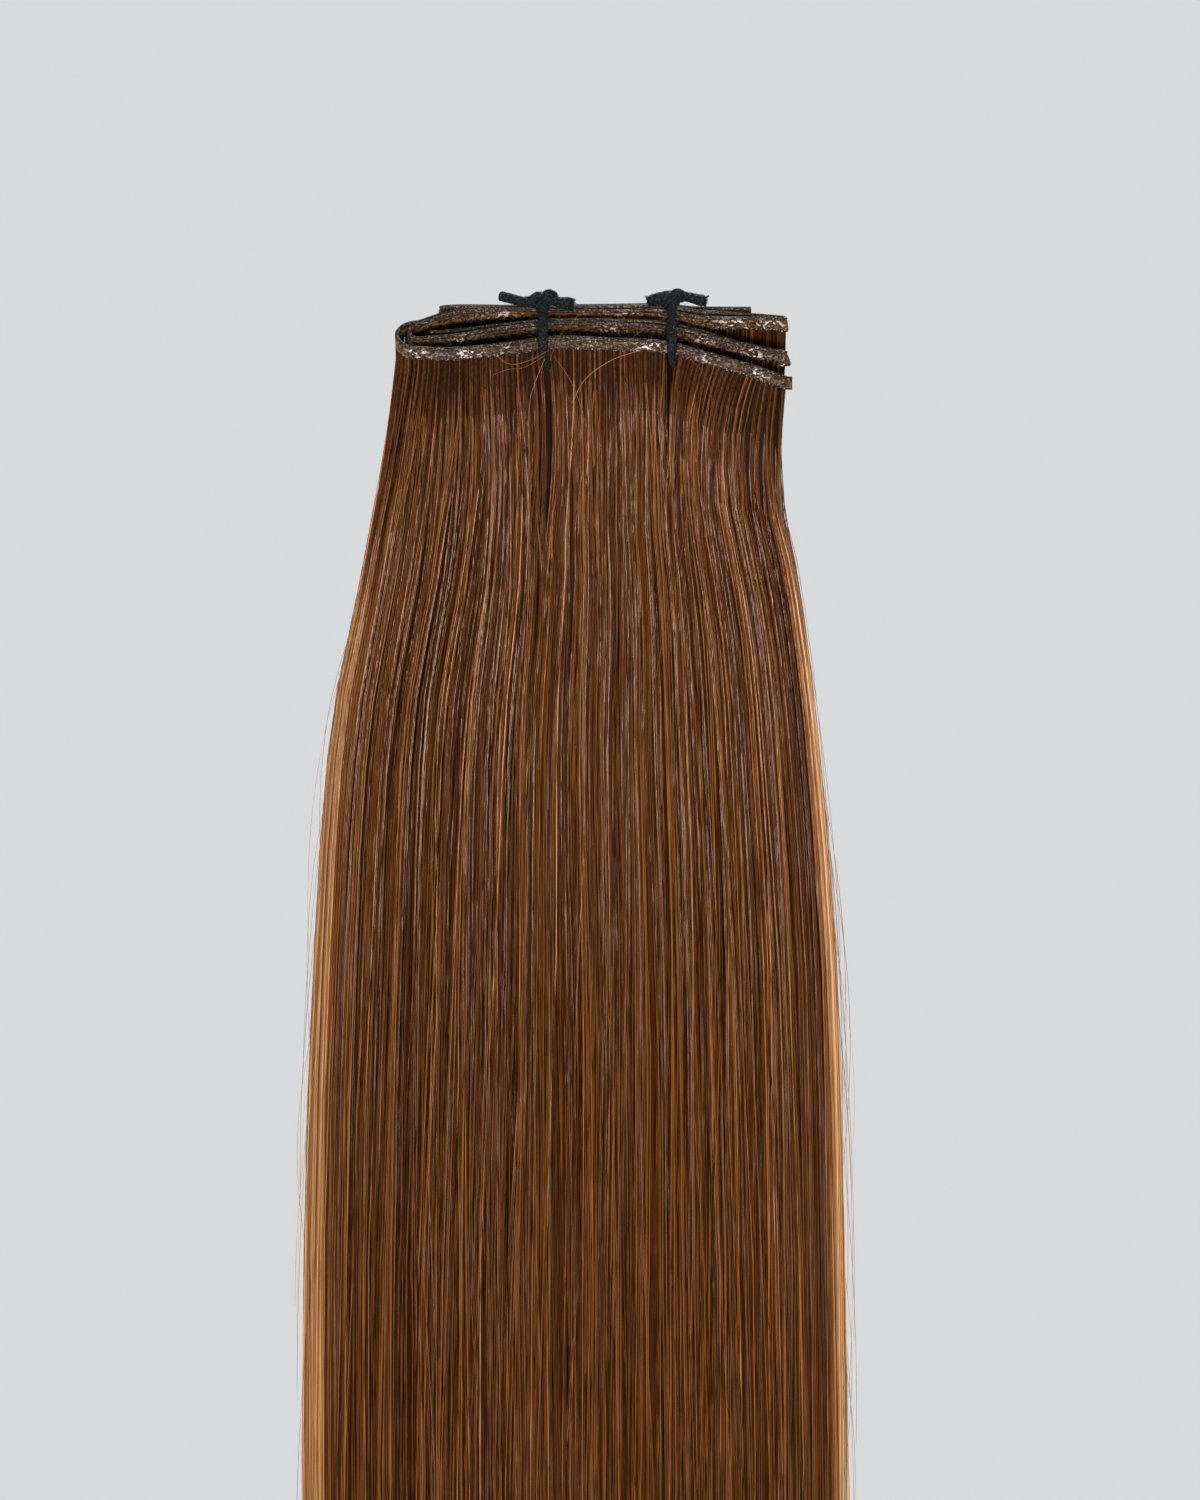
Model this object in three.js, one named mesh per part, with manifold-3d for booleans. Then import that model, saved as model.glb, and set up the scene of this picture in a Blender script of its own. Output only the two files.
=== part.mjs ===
// A weft of straight hair folded to and fro into a hanging bundle and tied twice with elastic cord.
// Millimetres, +Z up. The front of the bundle faces -Y and its hair falls towards -Z.
// The origin is the hanging point, on the top edges of the folded strips at the back.

import * as THREE from 'three';
import { mergeVertices } from 'three/addons/utils/BufferGeometryUtils.js';
import Module from 'manifold-3d';

// Driving dimensions of the folded strips
const STACK_TILT = THREE.MathUtils.degToRad(30);
const STRIP_HEIGHT = 3.9;
const STRIP_THICK = 0.9;
const STRIP_EDGE_THICK = 0.7;
const BEAD_THICK = 1.1;
const BEAD_HEIGHT = 1.0;
const BEAD_WIDEST_SHARE = 0.55;
const BEAD_CROWN_SHARE = 0.6;
const RUN_STEP = 4.6;
const CLEAR = 0.3;

// Each row is one place across the bundle: how far forward each run of strip lies, from the back line
const FOLD_ROWS = [
  { x: -45, front: 16.7, second: 13.1, tucked: 10.0, third: 7.9, fourth: 6.4, near: 2.2, far: 0.7 },
  { x: -36.5, front: 17.1, second: 12.1, tucked: 9.3, third: 3.7, fourth: 2.1, near: 0.6, far: -0.9 },
  { x: -23, front: 15.2, second: 9.0, tucked: 7.0, third: 2.0, fourth: 0.5, near: -1.0, far: -2.5 },
  { x: -11.5, front: 12.8, second: 7.3, tucked: 5.7, third: 2.5, fourth: 1.0, near: -0.5, far: -2.0 },
  { x: 2.5, front: 13.5, second: 7.6, tucked: 6.0, third: 2.6, fourth: 1.1, near: -0.4, far: -1.9 },
  { x: 15, front: 14.4, second: 8.7, tucked: 6.6, third: 2.4, fourth: 0.9, near: -0.6, far: -2.1 },
  { x: 24, front: 16.4, second: 10.8, tucked: 8.8, third: 4.9, fourth: 2.6, near: 0.8, far: -0.7 },
  { x: 37, front: 17.0, second: 11.6, tucked: 9.9, third: 5.4, fourth: 3.5, near: 1.7, far: 0.2 },
  { x: 46.5, front: 17.0, second: 11.5, tucked: 10.0, third: 5.8, fourth: 4.4, near: 2.4, far: 0.9 },
];
// How far each run has slipped down there
const DROP_ROWS = [
  { x: -45, front: 0, second: 0, tucked: 0.8, third: 0, fourth: 0.4, near: 0.2, far: 1.2 },
  { x: -36.5, front: 0, second: 0, tucked: 0.8, third: 0, fourth: 0.6, near: 0.5, far: 1.4 },
  { x: -23, front: 0, second: 0, tucked: 0.6, third: 0, fourth: 0.6, near: 2.0, far: 2.8 },
  { x: -11.5, front: 0, second: 0, tucked: 0.3, third: 0, fourth: 0.4, near: 1.4, far: 2.3 },
  { x: 2.5, front: 0, second: 0, tucked: 0.2, third: 0, fourth: 0, near: 1.0, far: 2.0 },
  { x: 17, front: 0, second: 0, tucked: 0.4, third: 0, fourth: 0, near: 1.0, far: 2.0 },
  { x: 24, front: 1.2, second: 0.3, tucked: 1.0, third: 0, fourth: 0, near: 0.7, far: 1.8 },
  { x: 37, front: 5.3, second: 3.6, tucked: 5.0, third: 0, fourth: 0.4, near: 0, far: 1.2 },
  { x: 46.5, front: 9.6, second: 6.0, tucked: 7.4, third: 0, fourth: 0.7, near: 0, far: 1.0 },
];

// Ends and folds of the runs
const LOOP_X = -45;
const OUTER_LOOP_REACH = 5.1;
const INNER_LOOP_REACH = 2.1;
const LOOP_STEPS = 10;
const RIGHT_FOLD_X = 45.1;
const FOLD_REACH = 0.7;
const FOLD_STEPS = 6;
const FRONT_END_X = 47.5;
const TUCKED_END_X = -42;
const BACK_FOLD_X = -38.6;
const BACK_END_X = 37.4;

// Outline of the falling hair: each row is one level below the origin.
const HAIR_ROWS = [
  { down: 14, left: -48.5, right: 46.2, front: -9.5, back: 7.0 },
  { down: 38, left: -52.5, right: 45.5, front: -8.2, back: 8.5 },
  { down: 52, left: -55.5, right: 46.0, front: -8.6, back: 9.2 },
  { down: 68, left: -59.0, right: 49.5, front: -9.6, back: 9.8 },
  { down: 107, left: -67.0, right: 54.5, front: -11.6, back: 10.6 },
  { down: 168, left: -71.5, right: 59.5, front: -12.6, back: 11.0 },
  { down: 240, left: -74.0, right: 61.5, front: -12.4, back: 10.8 },
  { down: 320, left: -74.5, right: 62.5, front: -11.6, back: 10.2 },
  { down: 400, left: -73.0, right: 61.5, front: -10.2, back: 9.2 },
  { down: 470, left: -69.0, right: 58.5, front: -8.4, back: 7.8 },
];
const HAIR_END = 468;
const LENS_POWER = 3;

// The ties part the hair into three panels. Shares run from -1 at the left edge to 1 at the right.
const PANELS = [
  { from: -44.2, to: -15.9, locks: 4, shareFrom: -1.0, shareTo: -0.2 },
  { from: -11.1, to: 15.6, locks: 4, shareFrom: -0.2, shareTo: 0.44 },
  { from: 21.6, to: 46.0, locks: 3, shareFrom: 0.44, shareTo: 1.0 },
];
// Locks under the outer loop: how far round it they hang, and where they fall in the left edge
const SIDE_LOCKS = [
  { turn: 0.1, share: -0.86, depth: -0.8 },
  { turn: 0.37, share: -0.93, depth: -0.4 },
  { turn: 0.63, share: -0.93, depth: 0.4 },
  { turn: 0.9, share: -0.86, depth: 0.8 },
];
const INNER_LOCKS = 2;
const INNER_LOCK_DEPTH = 0.3;
const SIDE_LOCK_WIDTH = 4.4;
const SIDE_LOCK_SHARE = 0.1;
const LOCK_ROOT_THICK = 0.8;
const LOCK_ROOT_GAP = 0.5;
const LOCK_THICK = 6.0;
const LOCK_OVERLAP = 1.12;
const LOCK_SIDES = 8;
const LOCK_SQUARENESS = 0.7;
const LOCK_BEND = 15;
const GATHER_FROM = 6;
const GATHER_LENGTH = 50;
const LONG_LOCK_STATIONS = [0, 10, 22, 38, 58, 95, 160, 250, 350, 430];
const SHORT_LOCK_STATIONS = [0, 10, 22, 38, 54];
const TIP_LENGTH = 14;
const TIP_WIDTH_SHARE = 0.93;
const TIP_THICK_SHARE = 0.6;
const TIP_UNEVEN = 3;
const TIP_PHASE = 2.4;
const SLOPE_PROBE = 0.5;
const SHARE_PROBE = 0.05;
const ANGLE_PROBE = 0.02;

// The hair inside the locks. Its top lies just under the ties, in the tilt of the stack.
const CORE_ROWS = [
  { down: 32, depth: 0.5 },
  { down: 60, depth: 0.66 },
  { down: 105, depth: 0.7 },
  { down: 170, depth: 0.7 },
  { down: 250, depth: 0.7 },
  { down: 340, depth: 0.7 },
  { down: 420, depth: 0.7 },
  { down: 462, depth: 0.66 },
];
const CORE_TOP_DEPTH = 0.5;
const CORE_TOP_UNDER_TIES = 0.6;
const CORE_SIDES = 20;
const CORE_WIDTH_SHARE = 0.96;
const DROOP_FROM_X = 22;
const DROOP_SLOPE = 0.42;

// Elastic ties
const CORD_RADIUS = 1.2;
const TIE_LOW = -STRIP_HEIGHT - 5.6;
const CORD_SIDES = 8;
const CORD_STEP = 2.6;
const CORD_SWELL_FROM = 0.5;
const TIE_GAP = CLEAR + 0.1;
const KNOT_SIDES = 10;
const KNOT_ROWS = [
  { along: -3.1, radius: 1.1 },
  { along: -2.3, radius: 1.65 },
  { along: -1.3, radius: 1.8 },
  { along: -0.7, radius: 1.5 },
  { along: 0, radius: 1.85 },
  { along: 0.7, radius: 1.5 },
  { along: 1.3, radius: 1.8 },
  { along: 2.3, radius: 1.65 },
  { along: 3.1, radius: 1.1 },
];
const TIES = [
  {
    name: 'tie_cord_left',
    x: -14,
    lowX: -13,
    low: TIE_LOW,
    knot: { forward: 1.4, up: 2.4 },
    endRadii: [1.25, 1.7],
    tails: [
      [{ x: -18.5, forward: 2.0, up: 2.2 }, { x: -22, forward: 1.0, up: 2.3 }, { x: -25, forward: 0.1, up: 2.5 }],
      [{ x: -10.5, forward: 2.4, up: 2.5 }, { x: -8.4, forward: 3.0, up: 2.5 }, { x: -6.6, forward: 3.6, up: 2.5 }],
    ],
  },
  {
    name: 'tie_cord_right',
    x: 17.7,
    lowX: 18.2,
    low: TIE_LOW + 2.5,
    knot: { forward: 0.6, up: 3.1 },
    endRadii: [1.55, 1.4],
    tails: [
      [{ x: 14.2, forward: 1.2, up: 2.9 }, { x: 12.8, forward: 1.6, up: 2.6 }, { x: 11.4, forward: 1.8, up: 2.3 }],
      [{ x: 21.2, forward: 1.0, up: 3.0 }, { x: 24, forward: 1.6, up: 2.6 }, { x: 26.4, forward: 1.9, up: 2.1 }],
    ],
  },
];

const MATERIALS = {
  strip: { color: 0x5a3a26, roughness: 0.35, metalness: 0 },
  hair: { color: 0x5f371d, roughness: 0.5, metalness: 0 },
  cord: { color: 0x16171a, roughness: 0.85, metalness: 0 },
};

const wasm = await Module();
wasm.setup();

// Smooth value of one column of a table at a place between its rows
function valueAt(rows, key, column, place) {
  const last = rows.length - 1;
  let i = 0;
  while (i < last - 1 && rows[i + 1][key] < place) i += 1;
  const slope = (k) => {
    const a = rows[Math.max(k - 1, 0)];
    const b = rows[Math.min(k + 1, last)];
    return (b[column] - a[column]) / (b[key] - a[key]);
  };
  const span = rows[i + 1][key] - rows[i][key];
  const t = THREE.MathUtils.clamp((place - rows[i][key]) / span, 0, 1);
  const step = t * t * (3 - 2 * t);
  const leave = t * (1 - t) * (1 - t) * span * slope(i);
  const arrive = t * t * (t - 1) * span * slope(i + 1);
  return THREE.MathUtils.lerp(rows[i][column], rows[i + 1][column], step) + leave + arrive;
}

const forwardAt = (run, x) => valueAt(FOLD_ROWS, 'x', run, x);
const dropAt = (run, x) => valueAt(DROP_ROWS, 'x', run, x);

// A place in the tilted stack: across, forward of the back line, and up along the strips' height
function stackPoint(x, forward, up) {
  const sin = Math.sin(STACK_TILT);
  const cos = Math.cos(STACK_TILT);
  return new THREE.Vector3(x, -forward * cos - up * sin, -forward * sin + up * cos);
}

const STACK_UP = stackPoint(0, 0, 1);

// One closed body through rings of equally many points, with a flat fan on each end
function loft(rings) {
  const count = rings[0].length;
  const points = rings.flat();
  const faces = [];
  for (let r = 0; r < rings.length - 1; r += 1) {
    for (let k = 0; k < count; k += 1) {
      const a = r * count + k;
      const b = r * count + ((k + 1) % count);
      faces.push([a, b, b + count], [a, b + count, a + count]);
    }
  }
  for (const [ring, first, turn] of [[rings[0], 0, 1], [rings.at(-1), points.length - count, -1]]) {
    const middle = ring.reduce((sum, p) => sum.add(p), new THREE.Vector3()).divideScalar(count);
    const hub = points.push(middle) - 1;
    for (let k = 0; k < count; k += 1) {
      const a = first + k;
      const b = first + ((k + 1) % count);
      faces.push(turn > 0 ? [hub, b, a] : [hub, a, b]);
    }
  }
  let volume = 0;
  for (const [a, b, c] of faces) volume += points[a].dot(points[b].clone().cross(points[c]));
  if (volume < 0) faces.forEach((face) => face.reverse());
  return { points, faces };
}

function solidOf({ points, faces }) {
  const vertProperties = new Float32Array(points.flatMap((p) => p.toArray()));
  const triVerts = new Uint32Array(faces.flat());
  return new wasm.Manifold(new wasm.Mesh({ numProp: 3, vertProperties, triVerts }));
}

// The faces of the outermost surface: pockets sealed between fused locks are filled by leaving theirs out
function outerFaces(triVerts, vertexCount) {
  const leader = Array.from({ length: vertexCount }, (_, i) => i);
  const leaderOf = (i) => {
    let top = i;
    while (leader[top] !== top) top = leader[top];
    leader[i] = top;
    return top;
  };
  for (let k = 0; k < triVerts.length; k += 3) {
    leader[leaderOf(triVerts[k + 1])] = leaderOf(triVerts[k]);
    leader[leaderOf(triVerts[k + 2])] = leaderOf(triVerts[k]);
  }
  const surfaces = new Map();
  for (let k = 0; k < triVerts.length; k += 3) {
    const key = leaderOf(triVerts[k]);
    if (!surfaces.has(key)) surfaces.set(key, []);
    surfaces.get(key).push(...triVerts.slice(k, k + 3));
  }
  return [...surfaces.values()].reduce((most, faces) => (faces.length > most.length ? faces : most));
}

function meshOf(name, solid, material) {
  const { vertProperties, triVerts } = solid.getMesh();
  const whole = new THREE.BufferGeometry();
  whole.setAttribute('position', new THREE.BufferAttribute(vertProperties, 3));
  whole.setIndex(outerFaces(triVerts, vertProperties.length / 3));
  const geometry = mergeVertices(whole.toNonIndexed());
  geometry.computeVertexNormals();
  const mesh = new THREE.Mesh(geometry, new THREE.MeshStandardMaterial(material));
  mesh.name = name;
  return mesh;
}

const fused = (lofts) => lofts.map(solidOf).reduce((sum, solid) => sum.add(solid));

// Top edge of one run, from one place across the bundle to another
function runLine(run, fromX, toX) {
  const steps = Math.ceil(Math.abs(toX - fromX) / RUN_STEP);
  return Array.from({ length: steps + 1 }, (_, k) => {
    const x = THREE.MathUtils.lerp(fromX, toX, k / steps);
    return stackPoint(x, forwardAt(run, x), -dropAt(run, x));
  });
}

// A place on the turn from one run to the next, at an angle from the first run, below its top edge
function turnPoint(fromRun, toRun, x, reach, angle, below) {
  const turned = (at) => THREE.MathUtils.lerp(at(fromRun, x), at(toRun, x), (1 - Math.cos(angle)) / 2);
  return stackPoint(x + reach * Math.sin(angle), turned(forwardAt), -turned(dropAt) - below);
}

// The top edge of that turn, bulging by reach (to the left where reach is negative)
function turnLine(fromRun, toRun, x, reach, steps) {
  return Array.from({ length: steps - 1 }, (_, k) =>
    turnPoint(fromRun, toRun, x, reach, (Math.PI * (k + 1)) / steps, 0),
  );
}

// Section of the strip: across its thickness and up from its top edge, with a bead along the top
function stripSection() {
  const half = STRIP_THICK / 2;
  const edge = STRIP_EDGE_THICK / 2;
  const bead = BEAD_THICK / 2;
  const crown = bead * BEAD_CROWN_SHARE;
  const right = [
    [edge, -STRIP_HEIGHT],
    [half, -BEAD_HEIGHT],
    [bead, -BEAD_HEIGHT * BEAD_WIDEST_SHARE],
    [crown, 0],
  ];
  const left = right.map(([across, up]) => [-across, up]).reverse();
  return [...right, ...left];
}

function strip(line) {
  const section = stripSection();
  const rings = line.map((point, i) => {
    const before = line[Math.max(i - 1, 0)];
    const after = line[Math.min(i + 1, line.length - 1)];
    const along = after.clone().sub(before).normalize();
    const height = STACK_UP.clone().addScaledVector(along, -STACK_UP.dot(along)).normalize();
    const across = along.clone().cross(height);
    return section.map(([a, up]) => point.clone().addScaledVector(across, a).addScaledVector(height, up));
  });
  return loft(rings);
}

function weftStrip() {
  const line = [
    ...runLine('front', FRONT_END_X, LOOP_X),
    ...turnLine('front', 'fourth', LOOP_X, -OUTER_LOOP_REACH, LOOP_STEPS),
    ...runLine('fourth', LOOP_X, RIGHT_FOLD_X),
    ...turnLine('fourth', 'third', RIGHT_FOLD_X, FOLD_REACH, FOLD_STEPS),
    ...runLine('third', RIGHT_FOLD_X, LOOP_X),
    ...turnLine('third', 'second', LOOP_X, -INNER_LOOP_REACH, LOOP_STEPS),
    ...runLine('second', LOOP_X, RIGHT_FOLD_X),
    ...turnLine('second', 'tucked', RIGHT_FOLD_X, FOLD_REACH, FOLD_STEPS),
    ...runLine('tucked', RIGHT_FOLD_X, TUCKED_END_X),
  ];
  return meshOf('weft_strip', solidOf(strip(line)), MATERIALS.strip);
}

function weftStripBack() {
  const line = [
    ...runLine('near', BACK_END_X, BACK_FOLD_X),
    ...turnLine('near', 'far', BACK_FOLD_X, -FOLD_REACH, FOLD_STEPS),
    ...runLine('far', BACK_FOLD_X, BACK_END_X),
  ];
  return meshOf('weft_strip_back', solidOf(strip(line)), MATERIALS.strip);
}

// Middle and half size of the falling hair at one level
function hairLevel(down) {
  const at = (column) => valueAt(HAIR_ROWS, 'down', column, down);
  return {
    midX: (at('left') + at('right')) / 2,
    halfX: (at('right') - at('left')) / 2,
    midY: (at('front') + at('back')) / 2,
    halfY: (at('back') - at('front')) / 2,
  };
}

// Half depth of the hair at a share of its width, as a part of the depth at its middle
const lens = (share) => Math.sqrt(Math.max(1 - Math.abs(share) ** LENS_POWER, 0));

const hairPoint = (level, share, depth, down) =>
  new THREE.Vector3(level.midX + share * level.halfX, level.midY + depth * level.halfY * lens(share), -down);

// A root on a run: the point just under the strip, and the way the strip slopes there
function runRoot(run, x) {
  const probe = SLOPE_PROBE;
  const slope = (dropAt(run, x + probe) - dropAt(run, x - probe)) / (2 * probe);
  const slant = Math.atan(slope);
  const under = STRIP_HEIGHT + LOCK_ROOT_GAP;
  const point = stackPoint(
    x - under * Math.sin(slant),
    forwardAt(run, x),
    -dropAt(run, x) - under * Math.cos(slant),
  );
  const ahead = stackPoint(x + probe, forwardAt(run, x + probe), -dropAt(run, x + probe));
  const behind = stackPoint(x - probe, forwardAt(run, x - probe), -dropAt(run, x - probe));
  return { point, slope, along: ahead.sub(behind).normalize() };
}

// A root on the outer loop, at an angle from its front end
function loopRoot(angle) {
  const at = (turn) => turnPoint('front', 'fourth', LOOP_X, -OUTER_LOOP_REACH, turn, STRIP_HEIGHT + LOCK_ROOT_GAP);
  const along = at(angle - ANGLE_PROBE).sub(at(angle + ANGLE_PROBE)).normalize();
  return { point: at(angle), slope: 0, along };
}

// A rounded flat section of a lock
function lockRing(centre, along, across, halfWide, halfThick) {
  return Array.from({ length: LOCK_SIDES }, (_, k) => {
    const angle = ((k + 0.5) / LOCK_SIDES) * Math.PI * 2;
    const round = (v) => Math.sign(v) * Math.abs(v) ** LOCK_SQUARENESS;
    return centre
      .clone()
      .addScaledVector(along, halfWide * round(Math.cos(angle)))
      .addScaledVector(across, halfThick * round(Math.sin(angle)));
  });
}

// One lock of hair, from its root to a place in the falling hair (share across, side front or back)
function lock({ root, rootWidth, share, shareWidth, depth, stations, end }) {
  const rings = stations.map((below) => {
    const near = Math.min(below / LOCK_BEND, 1);
    const bent = (LOCK_BEND / 2) * (1 - (1 - near) ** 2);
    const hanging = root.point
      .clone()
      .add(new THREE.Vector3(-bent * root.slope, bent * Math.tan(STACK_TILT), -below));
    const gather = THREE.MathUtils.smoothstep(below, GATHER_FROM, GATHER_FROM + GATHER_LENGTH);
    const level = hairLevel(-hanging.z);
    const tip = THREE.MathUtils.smoothstep(below, end - TIP_LENGTH, end);
    const slim = 1 - tip * (1 - TIP_WIDTH_SHARE);
    const flat = 1 - tip * (1 - TIP_THICK_SHARE);
    const fullThick = (LOCK_THICK / 2) * flat;
    const inset = 1 - fullThick / level.halfY;
    const target = hairPoint(level, share, depth * inset, -hanging.z);
    const slopeAt = (lens(share + SHARE_PROBE) - lens(share - SHARE_PROBE)) / (2 * SHARE_PROBE);
    const turned = new THREE.Vector3(level.halfX, depth * level.halfY * slopeAt, 0).normalize();
    const along = root.along.clone().lerp(turned, gather).normalize();
    const across = new THREE.Vector3(0, 0, 1).cross(along).normalize();
    const bodyWidth = shareWidth * level.halfX * LOCK_OVERLAP * slim;
    const halfWide = THREE.MathUtils.lerp(rootWidth, bodyWidth, gather) / 2;
    const halfThick = THREE.MathUtils.lerp(LOCK_ROOT_THICK / 2, fullThick, gather);
    return lockRing(hanging.lerp(target, gather), along, across, halfWide, halfThick);
  });
  return loft(rings);
}

// A row of locks hanging from one run, panel by panel
function lockRow(runOf, depth, perPanel, stationsOf) {
  return PANELS.flatMap((panel) => {
    const count = perPanel(panel);
    const step = (panel.to - panel.from) / count;
    const shareStep = (panel.shareTo - panel.shareFrom) / count;
    return Array.from({ length: count }, (_, k) => {
      const x = panel.from + step * (k + 0.5);
      const share = panel.shareFrom + shareStep * (k + 0.5);
      const root = runRoot(runOf(x), x);
      const { stations, end } = stationsOf(root, k);
      const rootWidth = step * LOCK_OVERLAP;
      return lock({ root, rootWidth, share, shareWidth: shareStep, depth, stations, end });
    });
  });
}

// Stations of a lock that reaches the cut ends, which are blunt and a little uneven
function longLock(root, k) {
  const end = HAIR_END + root.point.z + TIP_UNEVEN * Math.sin(k * TIP_PHASE + root.point.x);
  return { stations: [...LONG_LOCK_STATIONS, end], end };
}

function shortLock() {
  return { stations: SHORT_LOCK_STATIONS, end: HAIR_END };
}

function coreRing(down, depth) {
  const level = hairLevel(down);
  return Array.from({ length: CORE_SIDES }, (_, k) => {
    const angle = ((k + 0.5) / CORE_SIDES) * Math.PI * 2;
    const share = CORE_WIDTH_SHARE * Math.cos(angle);
    return hairPoint(level, share, depth * Math.sign(Math.sin(angle)), down);
  });
}

// The mass of hair inside the locks, lower at the right where the front run droops
function hairCore() {
  const under = TIE_LOW - CORD_RADIUS - CORE_TOP_UNDER_TIES;
  const top = coreRing(CORE_ROWS[0].down, CORE_TOP_DEPTH).map((point) => {
    const droop = Math.max(point.x - DROOP_FROM_X, 0) * DROOP_SLOPE;
    const z = point.y * Math.tan(STACK_TILT) + under / Math.cos(STACK_TILT) - droop;
    return point.setZ(Math.max(z, -CORE_ROWS[0].down + 1));
  });
  return loft([top, ...CORE_ROWS.map(({ down, depth }) => coreRing(down, depth))]);
}

function hairFall() {
  const backRun = (x) => (x > BACK_FOLD_X + 1 && x < BACK_END_X - 1 ? 'far' : 'fourth');
  const wholePanel = (panel) => panel.locks;
  const fewLocks = () => INNER_LOCKS;
  const sideLocks = SIDE_LOCKS.map(({ turn, share, depth }, k) => {
    const root = loopRoot(Math.PI * turn);
    const { stations, end } = longLock(root, k);
    return lock({ root, rootWidth: SIDE_LOCK_WIDTH, share, shareWidth: SIDE_LOCK_SHARE, depth, stations, end });
  });
  const lofts = [
    hairCore(),
    ...lockRow(() => 'front', -1, wholePanel, longLock),
    ...lockRow(backRun, 1, wholePanel, longLock),
    ...lockRow(() => 'second', -INNER_LOCK_DEPTH, fewLocks, shortLock),
    ...lockRow(() => 'third', INNER_LOCK_DEPTH, fewLocks, shortLock),
    ...sideLocks,
  ];
  return meshOf('hair_fall', fused(lofts), MATERIALS.hair);
}

// A round cord along a smooth curve through some points, swelling to a frayed end
function cord(points, endRadius) {
  const curve = new THREE.CatmullRomCurve3(points);
  const steps = Math.ceil(curve.getLength() / CORD_STEP) + 2;
  const frames = curve.computeFrenetFrames(steps, false);
  const rings = curve.getSpacedPoints(steps).map((point, i) => {
    const swell = THREE.MathUtils.smoothstep(i / steps, CORD_SWELL_FROM, 1);
    const radius = THREE.MathUtils.lerp(CORD_RADIUS, endRadius, swell);
    return Array.from({ length: CORD_SIDES }, (_, k) => {
      const angle = (k / CORD_SIDES) * Math.PI * 2;
      return point
        .clone()
        .addScaledVector(frames.normals[i], radius * Math.cos(angle))
        .addScaledVector(frames.binormals[i], radius * Math.sin(angle));
    });
  });
  return loft(rings);
}

// The knot: turns of cord drawn tight side by side across the bundle
function knot(centre) {
  const rings = KNOT_ROWS.map(({ along, radius }) =>
    Array.from({ length: KNOT_SIDES }, (_, k) => {
      const angle = (k / KNOT_SIDES) * Math.PI * 2;
      return centre.clone().add(new THREE.Vector3(along, radius * Math.cos(angle), radius * Math.sin(angle)));
    }),
  );
  return loft(rings);
}

// The way of a tie round the bundle, forward and up in the stack, from the knot and back to it
function tieRoute({ x, lowX, low, knot: at }) {
  const front = forwardAt('front', x);
  const far = forwardAt('far', x);
  const middle = (front + far) / 2;
  const over = CORD_RADIUS + TIE_GAP;
  const ahead = BEAD_THICK / 2 + CORD_RADIUS + TIE_GAP;
  const farFoot = -STRIP_HEIGHT - dropAt('far', x) - CORD_RADIUS - TIE_GAP;
  const route = [
    [x, at.forward, at.up],
    [x, at.forward + 2.6, over + 0.4],
    [x, middle + 1, over],
    [x, front - 0.8, over],
    [x, front + ahead * 0.65, over * 0.8],
    [x, front + ahead, -0.6],
    [x, front + ahead, -STRIP_HEIGHT],
    [lowX, front + ahead * 0.8, low + 1.8],
    [lowX, front - 0.6, low],
    [lowX, middle, low + 0.3],
    [lowX, far + 0.6, farFoot - 0.2],
    [x, far - ahead * 0.8, farFoot + 1.4],
    [x, far - ahead, -STRIP_HEIGHT + 0.8],
    [x, far - ahead, -0.4],
    [x, far - ahead * 0.5, over],
    [x, at.forward, at.up],
  ];
  return route.map(([across, forward, up]) => stackPoint(across, forward, up));
}

function tieCord(tie) {
  const centre = stackPoint(tie.x, tie.knot.forward, tie.knot.up);
  const tails = tie.tails.map((points) => [
    centre,
    ...points.map(({ x, forward, up }) => stackPoint(x, forward, up)),
  ]);
  const lofts = [
    knot(centre),
    cord(tieRoute(tie), CORD_RADIUS),
    ...tails.map((line, k) => cord(line, tie.endRadii[k])),
  ];
  return meshOf(tie.name, fused(lofts), MATERIALS.cord);
}

const bundle = new THREE.Group();
bundle.add(weftStrip(), weftStripBack(), hairFall(), ...TIES.map(tieCord));

export default bundle;
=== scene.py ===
"""Looks of a genius weft hair extension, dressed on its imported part, in the part's own frame."""

import math

import bpy
import numpy as np
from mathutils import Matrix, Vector


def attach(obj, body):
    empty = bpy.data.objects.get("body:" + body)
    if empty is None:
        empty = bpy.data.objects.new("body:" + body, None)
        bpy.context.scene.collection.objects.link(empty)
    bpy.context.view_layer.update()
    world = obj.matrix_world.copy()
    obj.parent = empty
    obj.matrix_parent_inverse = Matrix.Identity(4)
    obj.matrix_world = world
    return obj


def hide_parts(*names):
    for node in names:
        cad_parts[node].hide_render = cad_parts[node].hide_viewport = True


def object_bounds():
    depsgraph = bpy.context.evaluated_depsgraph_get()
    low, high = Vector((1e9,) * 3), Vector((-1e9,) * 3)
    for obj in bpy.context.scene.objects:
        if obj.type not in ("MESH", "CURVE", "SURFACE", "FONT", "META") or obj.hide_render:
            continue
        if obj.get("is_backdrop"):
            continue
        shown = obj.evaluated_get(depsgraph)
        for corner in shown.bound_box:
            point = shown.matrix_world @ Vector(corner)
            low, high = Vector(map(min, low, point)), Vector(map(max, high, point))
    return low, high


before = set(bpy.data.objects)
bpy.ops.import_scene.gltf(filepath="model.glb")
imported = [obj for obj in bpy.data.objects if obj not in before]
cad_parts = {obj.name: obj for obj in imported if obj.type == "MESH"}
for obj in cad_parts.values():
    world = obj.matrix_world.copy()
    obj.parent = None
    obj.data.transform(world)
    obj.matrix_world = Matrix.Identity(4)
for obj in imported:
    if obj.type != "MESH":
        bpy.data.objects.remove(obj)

cad_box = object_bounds()
MM = 0.001

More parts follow.
